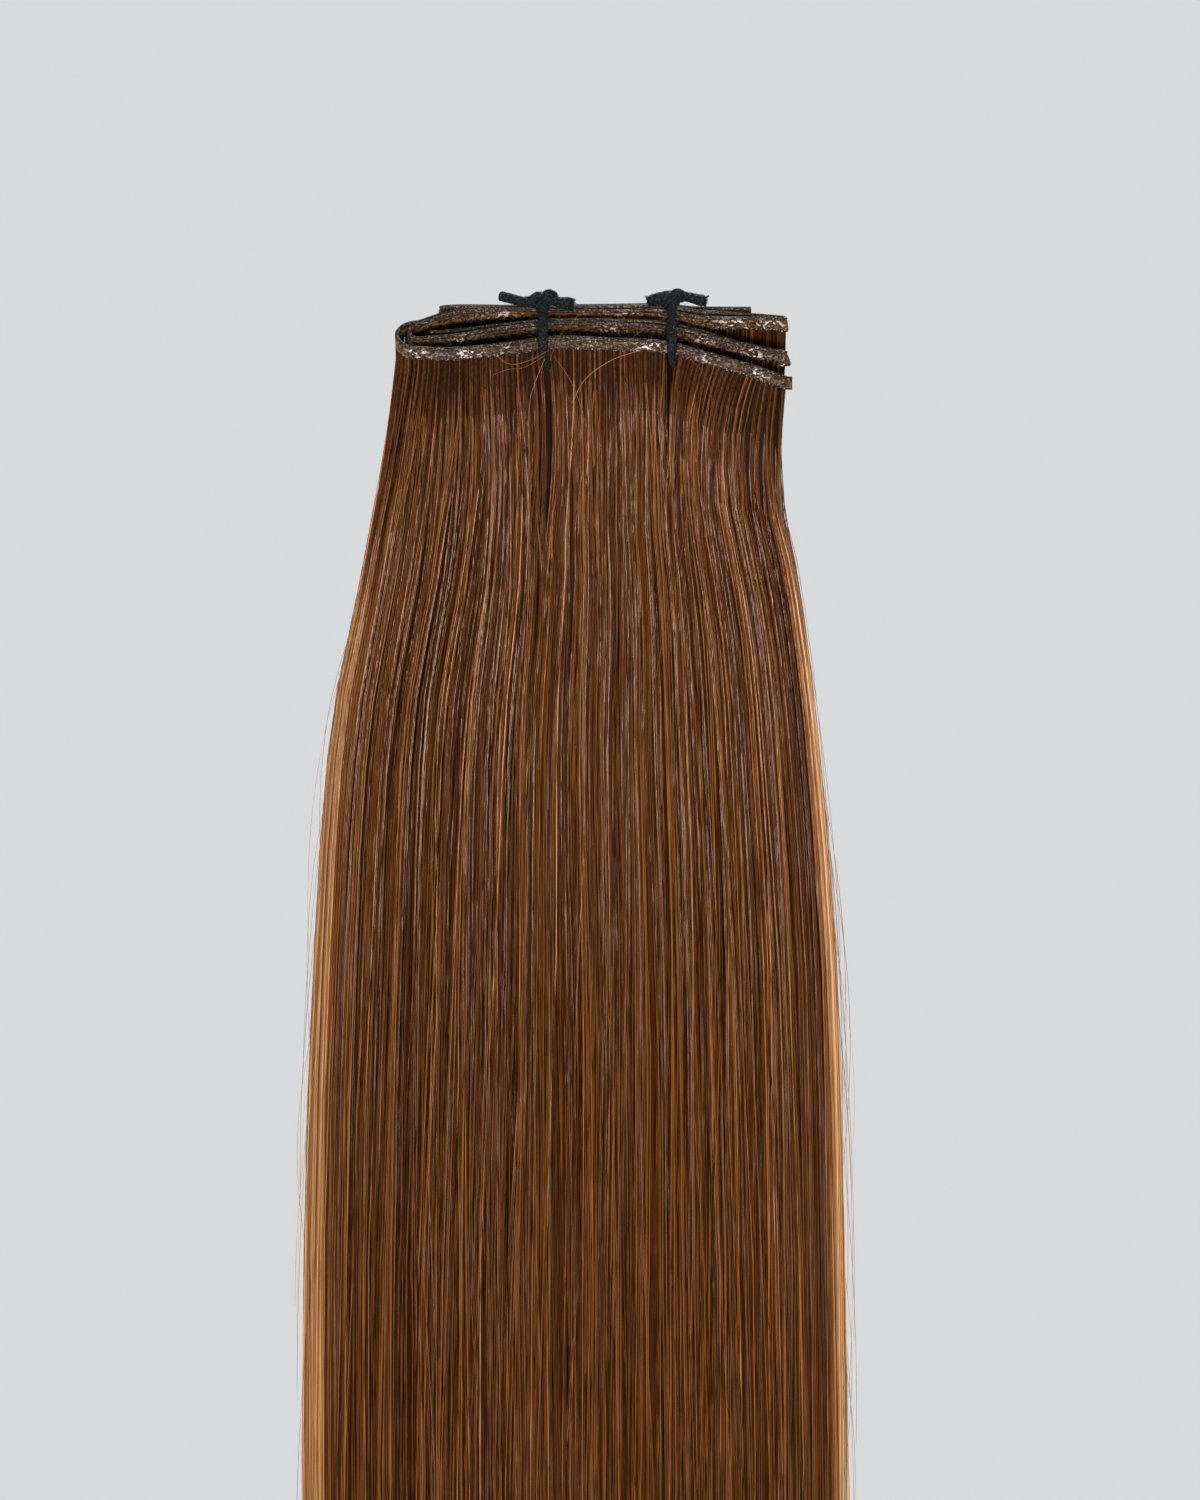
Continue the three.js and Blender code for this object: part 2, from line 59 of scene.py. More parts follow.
# The folded strips, in millimetres, as in the part's source
STACK_TILT = math.radians(30)
STRIP_HEIGHT = 3.9
CLEAR = 0.3
FOLD_COLUMNS = ("x", "front", "second", "tucked", "third", "fourth", "near", "far")
FOLD_ROWS = (
    (-45.0, 16.7, 13.1, 10.0, 7.9, 6.4, 2.2, 0.7),
    (-36.5, 17.1, 12.1, 9.3, 3.7, 2.1, 0.6, -0.9),
    (-23.0, 15.2, 9.0, 7.0, 2.0, 0.5, -1.0, -2.5),
    (-11.5, 12.8, 7.3, 5.7, 2.5, 1.0, -0.5, -2.0),
    (2.5, 13.5, 7.6, 6.0, 2.6, 1.1, -0.4, -1.9),
    (15.0, 14.4, 8.7, 6.6, 2.4, 0.9, -0.6, -2.1),
    (24.0, 16.4, 10.8, 8.8, 4.9, 2.6, 0.8, -0.7),
    (37.0, 17.0, 11.6, 9.9, 5.4, 3.5, 1.7, 0.2),
    (46.5, 17.0, 11.5, 10.0, 5.8, 4.4, 2.4, 0.9),
)
DROP_ROWS = (
    (-45.0, 0.0, 0.0, 0.8, 0.0, 0.4, 0.2, 1.2),
    (-36.5, 0.0, 0.0, 0.8, 0.0, 0.6, 0.5, 1.4),
    (-23.0, 0.0, 0.0, 0.6, 0.0, 0.6, 2.0, 2.8),
    (-11.5, 0.0, 0.0, 0.3, 0.0, 0.4, 1.4, 2.3),
    (2.5, 0.0, 0.0, 0.2, 0.0, 0.0, 1.0, 2.0),
    (17.0, 0.0, 0.0, 0.4, 0.0, 0.0, 1.0, 2.0),
    (24.0, 1.2, 0.3, 1.0, 0.0, 0.0, 0.7, 1.8),
    (37.0, 5.3, 3.6, 5.0, 0.0, 0.4, 0.0, 1.2),
    (46.5, 9.6, 6.0, 7.4, 0.0, 0.7, 0.0, 1.0),
)
LOOP_X = -45.0
OUTER_LOOP_REACH = 5.1
INNER_LOOP_REACH = 2.1
RIGHT_FOLD_X = 45.1
FOLD_REACH = 0.7
FRONT_END_X = 47.5
TUCKED_END_X = -42.0
BACK_FOLD_X = -38.6
BACK_END_X = 37.4

# The falling hair, in millimetres, level by level below the hanging point, as in the part's source
HAIR_COLUMNS = ("down", "left", "right", "front", "back")
HAIR_ROWS = (
    (14.0, -48.5, 46.2, -9.5, 7.0),
    (38.0, -52.5, 45.5, -8.2, 8.5),
    (52.0, -55.5, 46.0, -8.6, 9.2),
    (68.0, -59.0, 49.5, -9.6, 9.8),
    (107.0, -67.0, 54.5, -11.6, 10.6),
    (168.0, -71.5, 59.5, -12.6, 11.0),
    (240.0, -74.0, 61.5, -12.4, 10.8),
    (320.0, -74.5, 62.5, -11.6, 10.2),
    (400.0, -73.0, 61.5, -10.2, 9.2),
    (470.0, -69.0, 58.5, -8.4, 7.8),
)
HAIR_END = 468.0
LENS_POWER = 3.0
HAIR_BEND = 15.0
SIDE_BEND = 26.0
SIDE_GATHER = (0.0, 84.0)
OUTER_SHARES = (0.5, 0.9)
DEPTH_GATHER = (4.0, 54.0)
# Where across the strips a hair is rooted, and the share of the hair's width it falls to
ROOT_X = (-49.0, -15.3, -12.7, 16.4, 19.0, 33.0, 47.0)
ROOT_SHARE = (-1.0, -0.16, -0.16, 0.44, 0.44, 0.69, 1.0)

# The ties
CORD_RADIUS = 1.2
TIE_X = (-14.0, 17.7)
TIE_LOW = -STRIP_HEIGHT - 5.6


def smoothstep(values, low, high):
    t = np.clip((values - low) / (high - low), 0.0, 1.0)
    return t * t * (3.0 - 2.0 * t)


def smooth_value(rows, columns, name, places):
    """A smooth curve through one column of a table, read at places in its first column."""
    table = np.array(rows)
    knots = table[:, 0]
    values = table[:, columns.index(name)]
    last = len(knots) - 1
    ahead = np.minimum(np.arange(last + 1) + 1, last)
    behind = np.maximum(np.arange(last + 1) - 1, 0)
    slopes = (values[ahead] - values[behind]) / (knots[ahead] - knots[behind])
    i = np.clip(np.searchsorted(knots, places) - 1, 0, last - 1)
    span = knots[i + 1] - knots[i]
    t = np.clip((places - knots[i]) / span, 0.0, 1.0)
    step = t * t * (3.0 - 2.0 * t)
    leave = t * (1.0 - t) ** 2 * span * slopes[i]
    arrive = t * t * (t - 1.0) * span * slopes[i + 1]
    return values[i] + (values[i + 1] - values[i]) * step + leave + arrive


def forward_at(run, x):
    return smooth_value(FOLD_ROWS, FOLD_COLUMNS, run, np.asarray(x, float))


def drop_at(run, x):
    return smooth_value(DROP_ROWS, FOLD_COLUMNS, run, np.asarray(x, float))


def stack_points(x, forward, up):
    """Places in the tilted stack: across, forward of its back, and up along the strips."""
    sin, cos = math.sin(STACK_TILT), math.cos(STACK_TILT)
    x, forward, up = np.broadcast_arrays(np.asarray(x, float), forward, up)
    return np.stack([x, -forward * cos - up * sin, -forward * sin + up * cos], axis=-1)


def top_edge(run, x):
    return stack_points(x, forward_at(run, x), -drop_at(run, x))


STACK_UP = stack_points(0.0, 0.0, 1.0)
STACK_FORWARD = stack_points(0.0, 1.0, 0.0)


def turn_points(from_run, to_run, x, reach, angle, below=0.0):
    """Places on the turn from one run to the next, at angles, some way below the top edge."""
    turned = (1 - np.cos(angle)) / 2
    forward = forward_at(from_run, x) + (forward_at(to_run, x) - forward_at(from_run, x)) * turned
    drop = drop_at(from_run, x) + (drop_at(to_run, x) - drop_at(from_run, x)) * turned
    return stack_points(x + reach * np.sin(angle), forward, -drop - below)


def unit(vectors):
    return vectors / np.linalg.norm(vectors, axis=-1, keepdims=True)


def hair_level(down):
    """Middle and half size of the falling hair at some levels."""
    left, right, front, back = (
        smooth_value(HAIR_ROWS, HAIR_COLUMNS, name, down) for name in HAIR_COLUMNS[1:]
    )
    return (left + right) / 2, (right - left) / 2, (front + back) / 2, (back - front) / 2


def lens(share):
    """Half depth of the hair at a share of its width, as a part of the depth at its middle."""
    return np.sqrt(np.maximum(1.0 - np.abs(share) ** LENS_POWER, 0.0))


# Meshes from arrays

MAP_MARGIN = 0.08


def make_piece(name, points, face_groups, material, smooth=True):
    """A mesh from points in millimetres and groups of equal-sided faces, riding the one body."""
    mesh = bpy.data.meshes.new(name)
    corners = np.concatenate([group.ravel() for group in face_groups])
    sizes = np.concatenate([np.full(len(group), group.shape[1]) for group in face_groups])
    starts = np.concatenate([[0], np.cumsum(sizes)[:-1]])
    mesh.vertices.add(len(points))
    mesh.vertices.foreach_set("co", (points * MM).astype(np.float32).ravel())
    mesh.loops.add(len(corners))
    mesh.loops.foreach_set("vertex_index", corners.astype(np.int32))
    mesh.polygons.add(len(sizes))
    mesh.polygons.foreach_set("loop_start", starts.astype(np.int32))
    mesh.polygons.foreach_set("use_smooth", np.full(len(sizes), smooth))
    mesh.update(calc_edges=True)
    mesh.materials.append(material)
    piece = bpy.data.objects.new(name, mesh)
    bpy.context.scene.collection.objects.link(piece)
    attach(piece, "root")
    return piece


def point_values(piece, name, values, shape):
    """A value for each point, from values that are spread over a shape of points."""
    layer = piece.data.attributes.new(name, "FLOAT", "POINT")
    layer.data.foreach_set("value", np.broadcast_to(values, shape).astype(np.float32).ravel())


def rings_round(points, first, second, a, b):
    """Rings of points round lines, set off by a and b along two ways across them."""
    off = first[..., None, :] * a[..., None]
    return points[..., None, :] + off + second[..., None, :] * b[..., None]


def sweep_faces(count, rings, sides):
    """Quads round many sweeps of equally many rings, and the two end faces of each."""
    n = np.arange(count)[:, None, None]
    r = np.arange(rings - 1)[None, :, None]
    k = np.arange(sides)[None, None, :]
    corner = lambda ring, side: (n * rings + ring) * sides + side % sides
    quads = np.stack([corner(r, k), corner(r + 1, k), corner(r + 1, k + 1), corner(r, k + 1)], axis=-1)
    side = np.arange(sides)[None, :]
    first = np.arange(count)[:, None] * rings * sides + side
    last = first[:, ::-1] + (rings - 1) * sides
    return quads.reshape(-1, 4), first, last


def join_sweeps(sweeps):
    """Points and faces of some sweeps of equally many sides, as one mesh."""
    points = np.concatenate([rings.reshape(-1, 3) for rings in sweeps])
    groups = ([], [], [])
    start = 0
    for rings in sweeps:
        count, sides = rings.shape[:2]
        for group, faces in zip(groups, sweep_faces(1, count, sides)):
            group.append(faces + start)
        start += count * sides
    return points, [np.concatenate(group) for group in groups]


def sweep_map(piece, count, rings, sides, chunk, columns):
    """A flat map in which each stretch of each sweep, chunk rings long, has a cell of its own."""
    n = np.arange(count)[:, None, None, None]
    r = np.arange(rings - 1)[None, :, None, None]
    k = np.arange(sides)[None, None, :, None]
    ring_step = np.array([0, 1, 1, 0])
    side_step = np.array([0, 0, 1, 1])
    chunks = -(-(rings - 1) // chunk)
    cell = n * chunks + r // chunk
    cell_rows = -(-count * chunks // columns)
    filled = 1 - 2 * MAP_MARGIN
    along = MAP_MARGIN + filled * (r % chunk + ring_step) / chunk
    around = MAP_MARGIN + filled * (k + side_step) / sides
    u = (cell % columns + along) / columns
    v = (cell // columns + around) / cell_rows
    u, v = np.broadcast_arrays(u, v)
    quad_map = np.stack([u, v], axis=-1).reshape(-1, 2)
    by_ring = quad_map.reshape(count, rings - 1, sides * 4, 2)
    root_ends = np.repeat(by_ring[:, 0, 0], sides, axis=0)
    tip_ends = np.repeat(by_ring[:, -1, 1], sides, axis=0)
    whole_map = np.concatenate([quad_map, root_ends, tip_ends])
    layer = piece.data.uv_layers.new(name="OFBake")
    layer.data.foreach_set("uv", whole_map.astype(np.float32).ravel())


def evenly(line, step):
    """A line through the same places with points at even steps, and how far along each one is."""
    length = np.sum(np.linalg.norm(np.diff(line, axis=0), axis=1))
    return evenly_counted(line, round(length / step) + 1)


def evenly_counted(line, count):
    spans = np.linalg.norm(np.diff(line, axis=0), axis=1)
    lengths = np.concatenate([[0.0], np.cumsum(spans)])
    places = np.linspace(0.0, lengths[-1], count)
    return np.stack([np.interp(places, lengths, line[:, k]) for k in range(3)], axis=1), places


def curve_through(points, per_span=24):
    """A smooth line through some points."""
    points = np.asarray(points, float)
    knots = np.concatenate([[0.0], np.cumsum(np.sqrt(np.linalg.norm(np.diff(points, axis=0), axis=1)))])
    places = np.linspace(0.0, knots[-1], per_span * (len(points) - 1) + 1)
    rows = np.column_stack([knots, points])
    columns = ("knot", "x", "y", "z")
    return np.stack([smooth_value(rows, columns, name, places) for name in columns[1:]], axis=1)


# Materials

def new_material(name):
    material = bpy.data.materials.new(name)
    material.use_nodes = True
    tree = material.node_tree
    return material, tree, tree.nodes["Principled BSDF"]


def fill(tree, node, inputs):
    """Sets a node's inputs, or links them where the value is another node's output."""
    for name, value in inputs.items():
        if isinstance(value, bpy.types.NodeSocket):
            tree.links.new(value, node.inputs[name])
        else:
            node.inputs[name].default_value = value


def made(tree, kind, output, inputs, **settings):
    """The output of a new node with some inputs and settings."""
    node = tree.nodes.new("ShaderNode" + kind)
    for name, value in settings.items():
        setattr(node, name, value)
    fill(tree, node, inputs)
    return node.outputs[output]


def attribute(tree, name):
    return made(tree, "Attribute", "Fac", {}, attribute_name=name)


def noise(tree, scale, detail=3.0, roughness=0.55):
    """Noise over places on the object in millimetres, stretched by a scale along each axis."""
    spot = made(tree, "TexCoord", "Object", {})
    spot = made(tree, "Mapping", "Vector", {"Vector": spot, "Scale": [s / MM for s in scale]})
    inputs = {"Vector": spot, "Scale": 1.0, "Detail": detail, "Roughness": roughness}
    return made(tree, "TexNoise", "Fac", inputs)


def ramp(tree, value, stops):
    """Colours along a value: stops of (place, red, green, blue)."""
    node = tree.nodes.new("ShaderNodeValToRGB")
    elements = node.color_ramp.elements
    while len(elements) < len(stops):
        elements.new(0.5)
    for element, (position, *colour) in zip(elements, stops):
        element.position = position
        element.color = (*colour, 1.0)
    fill(tree, node, {"Fac": value})
    return node.outputs["Color"]


def spread(tree, value, low, high, to_low=0.0, to_high=1.0):
    ends = {"From Min": low, "From Max": high, "To Min": to_low, "To Max": to_high}
    return made(tree, "MapRange", "Result", {"Value": value, **ends})


def maths(tree, operation, a, b):
    return made(tree, "Math", "Value", {0: a, 1: b}, operation=operation)


def mixed(tree, share, a, b):
    return made(tree, "Mix", 2, {0: share, 6: a, 7: b}, data_type="RGBA")


def bump(tree, height, distance, strength=1.0):
    inputs = {"Strength": strength, "Distance": distance * MM, "Height": height}
    return made(tree, "Bump", "Normal", inputs)


def object_height(tree):
    spot = made(tree, "TexCoord", "Object", {})
    return made(tree, "SeparateXYZ", "Z", {"Vector": spot})


HAIR_GLINT = (1.0, 0.68, 0.54, 1.0)


def hair_material():
    """Straight brown hair: each strand has a tone, lighter and ashier near the strips as a painted sheen,
    and warmer lower down where that painted sheen fades.
    """
    material, tree, shader = new_material("brown_hair")
    streak = noise(tree, (2.2, 2.2, 0.05))
    tone = maths(tree, "ADD", attribute(tree, "tone"), spread(tree, streak, 0.3, 0.7, -0.1, 0.1))
    sheened_upper = ramp(tree, tone, (
        (0.0, 0.004, 0.0012, 0.0004), (0.45, 0.052, 0.0135, 0.0022),
        (0.85, 0.210, 0.083, 0.027), (1.0, 0.440, 0.245, 0.120)))
    lower = ramp(tree, tone, (
        (0.0, 0.004, 0.0012, 0.0004), (0.45, 0.048, 0.0115, 0.0012),
        (0.85, 0.205, 0.073, 0.015), (1.0, 0.420, 0.220, 0.095)))
    # Painted sheen: the lighter, ashier upper ramp near the strips gives way to the lower one further
    # down
    fall = spread(tree, object_height(tree), -0.045, -0.22)
    fill(tree, shader, {
        "Base Color": mixed(tree, fall, sheened_upper, lower),
        "Roughness": spread(tree, streak, 0.3, 0.7, 0.24, 0.34),
        "Normal": bump(tree, noise(tree, (1.4, 1.4, 0.10), detail=2.0), 0.14),
        "Specular IOR Level": 0.20,
        "Specular Tint": HAIR_GLINT,
    })
    return material


def shaded_core_material():
    """The hair deep inside the bundle, seen only in the gaps, coloured far darker than the hair itself as
    painted shade.
    """
    material, tree, shader = new_material("inner_hair_shade")
    streak = noise(tree, (1.6, 1.6, 0.03), detail=5.0)
    colour = ramp(tree, streak, ((0.3, 0.005, 0.0018, 0.0007), (0.7, 0.026, 0.0090, 0.0026)))
    fill(tree, shader, {
        "Base Color": colour,
        "Roughness": spread(tree, streak, 0.3, 0.7, 0.45, 0.7),
        "Normal": bump(tree, streak, 0.4),
        "Specular IOR Level": 0.05,
    })
    return material


def strip_face(tree, mottle, speck, fleck):
    """The brown face of a weft: dark specks and gold flecks, and more orange inside the stack, painted
    light as if shining through the strips.
    """
    brown = ramp(tree, mottle, (
        (0.36, 0.007, 0.0028, 0.0011), (0.50, 0.036, 0.0138, 0.0044), (0.66, 0.092, 0.0420, 0.0140)))
    backlit_amber = ramp(tree, mottle, (
        (0.36, 0.011, 0.0034, 0.0008), (0.50, 0.062, 0.0210, 0.0035), (0.66, 0.145, 0.0580, 0.0115)))
    # Painted light: strips inside the stack turn orange, as if light shone through them
    inside = maths(tree, "MULTIPLY", attribute(tree, "inside"), 0.85)
    face = mixed(tree, inside, brown, backlit_amber)
    face = mixed(tree, spread(tree, speck, 0.42, 0.35, 0.0, 0.7), face, (0.008, 0.004, 0.002, 1.0))
    return mixed(tree, spread(tree, fleck, 0.61, 0.69, 0.0, 0.6), face, (0.36, 0.29, 0.19, 1.0))


def strip_edges(tree, face, height, on_top, speck, fleck):
    """A face with the grey thread on top, painted shade in the groove under it and the dotted lower edge.
    """
    thread = ramp(tree, fleck, (
        (0.40, 0.003, 0.0022, 0.0016), (0.54, 0.013, 0.0095, 0.006), (0.68, 0.20, 0.165, 0.115)))
    hem = ramp(tree, speck, (
        (0.46, 0.004, 0.0025, 0.0018), (0.58, 0.016, 0.009, 0.006), (0.70, 0.45, 0.38, 0.30)))
    colour = mixed(tree, maths(tree, "MULTIPLY", on_top, 0.85), face, thread)
    # Painted shade: a dark line in the groove under the bead
    groove_shade = maths(tree, "MULTIPLY", spread(tree, height, 0.78, 0.84), spread(tree, height, 0.91, 0.87))
    colour = mixed(tree, maths(tree, "MULTIPLY", groove_shade, 0.8), colour, (0.005, 0.003, 0.002, 1.0))
    return mixed(tree, spread(tree, height, 0.20, 0.15), colour, hem)


def strip_material():
    """Sealed weft: brown under a crinkled film, a grey thread on top, a dark dotted lower edge."""
    material, tree, shader = new_material("sealed_weft")
    height = attribute(tree, "height")
    milky_and_glint = attribute(tree, "milky_and_glint")
    mottle = noise(tree, (1.1, 1.1, 1.3), detail=3.0, roughness=0.6)
    speck = noise(tree, (2.3, 2.3, 2.6), detail=2.0, roughness=0.6)
    fleck = noise(tree, (2.1, 2.1, 2.5), detail=2.0, roughness=0.6)
    facets = noise(tree, (1.0, 1.0, 1.2), detail=3.0, roughness=0.6)
    # Whitish creases: partly milky crinkled film, partly painted glints where the film catches light
    crease_glint = maths(tree, "MULTIPLY", spread(tree, facets, 0.54, 0.62), milky_and_glint)
    face = mixed(tree, crease_glint, strip_face(tree, mottle, speck, fleck), (0.80, 0.70, 0.66, 1.0))
    on_top = spread(tree, height, 0.88, 0.93)
    colour = strip_edges(tree, face, height, on_top, speck, fleck)
    roughness = spread(tree, mottle, 0.3, 0.7, 0.45, 0.7)
    film = bump(tree, facets, 0.8, spread(tree, milky_and_glint, 0.1, 0.8, 0.22, 1.0))
    fill(tree, shader, {
        "Base Color": colour,
        "Roughness": roughness,
        "Normal": film,
        "Coat Normal": film,
        "Specular IOR Level": 0.1,
        "Coat Weight": spread(tree, on_top, 0.0, 1.0, 0.30, 0.04),
        "Coat Roughness": 0.10,
    })
    return material


def cord_material():
    """Black braided elastic: painted grey glints on the yarns, and painted light and shade that make the
    yarns' crowns lighter and the grooves between them darker.
    """
    material, tree, shader = new_material("black_elastic")
    yarn = attribute(tree, "yarn")
    fibre = noise(tree, (5.0, 5.0, 5.0), detail=3.0)
    relief_and_painted_light = maths(tree, "ADD", yarn, spread(tree, fibre, 0.3, 0.7, -0.35, 0.35))
    # Painted light and shade: the ramp darkens the grooves and lightens the yarns' crowns
    colour = ramp(tree, relief_and_painted_light, (
        (0.50, 0.0004, 0.0005, 0.0005), (0.86, 0.0016, 0.0018, 0.0019), (1.0, 0.026, 0.028, 0.029)))
    # Painted glints: grey specks over the black yarns
    speck = noise(tree, (3.2, 3.2, 3.2), detail=1.0)
    colour = mixed(tree, spread(tree, speck, 0.60, 0.70, 0.0, 0.32), colour, (0.12, 0.14, 0.145, 1.0))
    fill(tree, shader, {
        "Base Color": colour,
        "Roughness": spread(tree, fibre, 0.3, 0.7, 0.30, 0.48),
        "Normal": bump(tree, relief_and_painted_light, 0.18),
        "Specular IOR Level": 0.14,
    })
    return material


def floor_material():
    material, tree, shader = new_material("pale_floor")
    cloud = noise(tree, (0.004, 0.004, 0.004))
    colour = ramp(tree, cloud, ((0.3, 0.546, 0.549, 0.554), (0.7, 0.550, 0.553, 0.558)))
    fill(tree, shader, {"Base Color": colour, "Roughness": 0.9, "Specular IOR Level": 0.1})
    return material


# The strips

STRIP_STEP = 0.36
# Half of the strip's section: up along its height, and half its thickness there
STRIP_SECTION = (
    (-3.90, 0.20), (-3.78, 0.36), (-3.55, 0.41), (-3.32, 0.36), (-2.95, 0.43),
    (-2.50, 0.45), (-2.05, 0.45), (-1.60, 0.45), (-1.20, 0.45), (-0.85, 0.44),
    (-0.66, 0.36), (-0.52, 0.46), (-0.32, 0.52), (-0.12, 0.44), (0.0, 0.20),
)
BEAD_FROM = -0.60
HEM_TO = -3.35
STITCH_PITCH = 0.62
ROOT_PITCH = 1.25
STITCH_SLANT = 0.35
STITCH_DEPTH = 0.13
KNOB_DEPTH = 0.16
# Waves of the film's crinkles: their lengths and slants, and how much shows where it isn't milky
FILM_WAVES = ((1.9, 0.9), (1.3, -0.7), (2.7, 0.4), (0.85, 0.6), (0.7, -1.1))
WOBBLE = 0.9
WOBBLE_LENGTH = 5.3
FILM_FADE = 0.5
CRINKLE = 0.126
PLAIN_CRINKLE = 0.6
# Places where the clear film is crinkled and whitish, partly milky film and partly painted glints, on
# each run: x, half length, strength
MILKY_GLINT_PLACES = {
    "front": (
        (13.5, 4.0, 1.0), (-32.5, 3.2, 0.9), (39.5, 3.6, 1.0), (-3.0, 2.5, 0.45),
        (27.0, 2.4, 0.5), (-46.0, 3.4, 0.8), (-23.0, 2.2, 0.45)),
    "second": ((38.5, 3.4, 0.9), (26.0, 2.6, 0.5), (3.0, 3.0, 0.5), (-35.0, 3.0, 0.5)),
    "third": ((33.0, 4.0, 0.7), (42.0, 3.0, 0.8), (5.0, 4.0, 0.5), (-25.0, 4.0, 0.5)),
    "fourth": ((20.0, 5.0, 0.6),),
    "far": ((-22.0, 4.0, 0.8), (8.0, 3.6, 0.7), (30.0, 3.0, 0.6)),
    "near": ((14.0, 4.0, 0.6),),
}
MILKY_GLINT_EVERYWHERE = 0.07
MILKY_GLINT_CLOSENESS = np.array([1.0, 4.0, 2.0])
# How far forward in the stack the painted orange of light shining through a strip fades out
BACKLIT_FADE = (4.0, 8.5)
LINE_STEP = 0.2
TURN_STEPS = 40
MAP_CHUNK = 180


def run_line(run, from_x, to_x):
    return top_edge(run, np.linspace(from_x, to_x, round(abs(to_x - from_x) / LINE_STEP) + 1))


def turn_line(from_run, to_run, x, reach):
    return turn_points(from_run, to_run, x, reach, np.linspace(0.0, math.pi, TURN_STEPS)[1:-1])


def waves(a, b, directions, seed):
    """A gentle uneven relief over two coordinates: waves with (length, slant) and seeded phases."""
    chance = np.random.default_rng(seed)
    total = np.zeros(np.broadcast(a, b).shape)
    for length, slant in directions:
        phase = chance.uniform(0, math.tau)
        start = chance.uniform(0, math.tau)
        wobble = WOBBLE * np.sin(a / (length * WOBBLE_LENGTH) + start)
        total += np.sin(math.tau * (a + slant * b) / length + phase + wobble)
    return total / len(directions)


def milky_glint_places(points):
    """How crinkled and whitish the film is along a strip, from its top edge's points: partly milky film,
    partly painted glints.
    """
    total = np.full(len(points), MILKY_GLINT_EVERYWHERE)
    for run, places in MILKY_GLINT_PLACES.items():
        for x, half_length, strength in places:
            apart = (points - top_edge(run, x)) * MILKY_GLINT_CLOSENESS / half_length
            total += strength * np.exp(-np.sum(apart ** 2, axis=1))
    return np.minimum(total, 1.0)


def strip_relief(up, side, half, along, milky_and_glint, seed):
    """Half the thickness of a strip: crinkled film, stitched bead and knobs along the hem."""
    film = np.abs(waves(along, up * side, FILM_WAVES, seed))
    face = smoothstep(up, HEM_TO, HEM_TO + FILM_FADE) * smoothstep(-up, -BEAD_FROM, FILM_FADE - BEAD_FROM)
    half = half + CRINKLE * face * (PLAIN_CRINKLE + milky_and_glint) * film
    stitch = np.cos(math.tau * (along / STITCH_PITCH + STITCH_SLANT * side * up))
    half = half * (1 + STITCH_DEPTH * stitch * (up > BEAD_FROM))
    knob = np.cos(math.tau * along / ROOT_PITCH)
    return half * (1 + KNOB_DEPTH * knob * (up < HEM_TO))


def strip_skin(name, node, line, material, seed):
    """A detailed strip along the line of its top edge, in place of its solid."""
    points, along = evenly(line, STRIP_STEP)
    tangent = unit(np.gradient(points, axis=0))
    height = unit(STACK_UP - (tangent @ STACK_UP)[:, None] * tangent)
    across = np.cross(tangent, height)
    section = np.array(STRIP_SECTION)
    up, half = np.concatenate([section, section[::-1]]).T[:, None, :]
    side = np.repeat([1.0, -1.0], len(section))[None, :]
    milky_and_glint = milky_glint_places(points)[:, None]
    # Painted light: strips further back in the stack get the orange of light shining through them
    inside = 1 - smoothstep(points @ STACK_FORWARD, *BACKLIT_FADE)[:, None]
    half = strip_relief(up, side, half, along[:, None], milky_and_glint, seed)
    up = np.broadcast_to(up, half.shape)
    rings = rings_round(points, across, height, side * half, up)
    piece = make_piece(name, rings.reshape(-1, 3), sweep_faces(1, *half.shape), material)
    point_values(piece, "height", 1 + up / STRIP_HEIGHT, half.shape)
    point_values(piece, "milky_and_glint", milky_and_glint, half.shape)
    point_values(piece, "inside", inside, half.shape)
    sweep_map(piece, 1, *half.shape, chunk=MAP_CHUNK, columns=1)
    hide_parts(node)


def weft_strips(material):
    """The main strip in its five runs, and the back strip folded once."""
    main = np.concatenate([
        run_line("front", FRONT_END_X, LOOP_X),
        turn_line("front", "fourth", LOOP_X, -OUTER_LOOP_REACH),
        run_line("fourth", LOOP_X, RIGHT_FOLD_X),
        turn_line("fourth", "third", RIGHT_FOLD_X, FOLD_REACH),
        run_line("third", RIGHT_FOLD_X, LOOP_X),
        turn_line("third", "second", LOOP_X, -INNER_LOOP_REACH),
        run_line("second", LOOP_X, RIGHT_FOLD_X),
        turn_line("second", "tucked", RIGHT_FOLD_X, FOLD_REACH),
        run_line("tucked", RIGHT_FOLD_X, TUCKED_END_X),
    ])
    back = np.concatenate([
        run_line("near", BACK_END_X, BACK_FOLD_X),
        turn_line("near", "far", BACK_FOLD_X, -FOLD_REACH),
        run_line("far", BACK_FOLD_X, BACK_END_X),
    ])
    strip_skin("strip_skin", "weft_strip", main, material, seed=11)
    strip_skin("strip_skin_back", "weft_strip_back", back, material, seed=12)


# The hair

STRAND_SIDES = 3
STRAND_SIDE_TURN = math.tau / STRAND_SIDES
HAIR_LENGTH = 460.0
LONG_STATIONS = np.array(
    [0, 4, 9, 16, 25, 35, 46, 58, 72, 88, 106, 128, 155, 190, 235, 290, 360, HAIR_LENGTH])
SHORT_STATIONS = np.array([0, 4, 10, 20, 36, 56.0])
STRAND_RADIUS = 0.105
STRAY_RADIUS = 0.055
TIP_TAPER = 0.45
BUNDLE_HALF_WIDE = 0.40
BUNDLE_HALF_THICK = 0.36
BUNDLE_SHIFT = 0.07
ROOT_LIFT = 0.5
ROOT_SEED = 7
SLOPE_PROBE = 0.5
STRAIGHT_FROM = (33.0, 46.0)
STRAIGHTER = 0.85
TURN_PROBE = 0.02
# Half the room left for a tie, and how far from it the hair still parts
TIE_ROOM = 1.5
PARTED_REACH = 4.0
PARTED_LEAST = 0.25
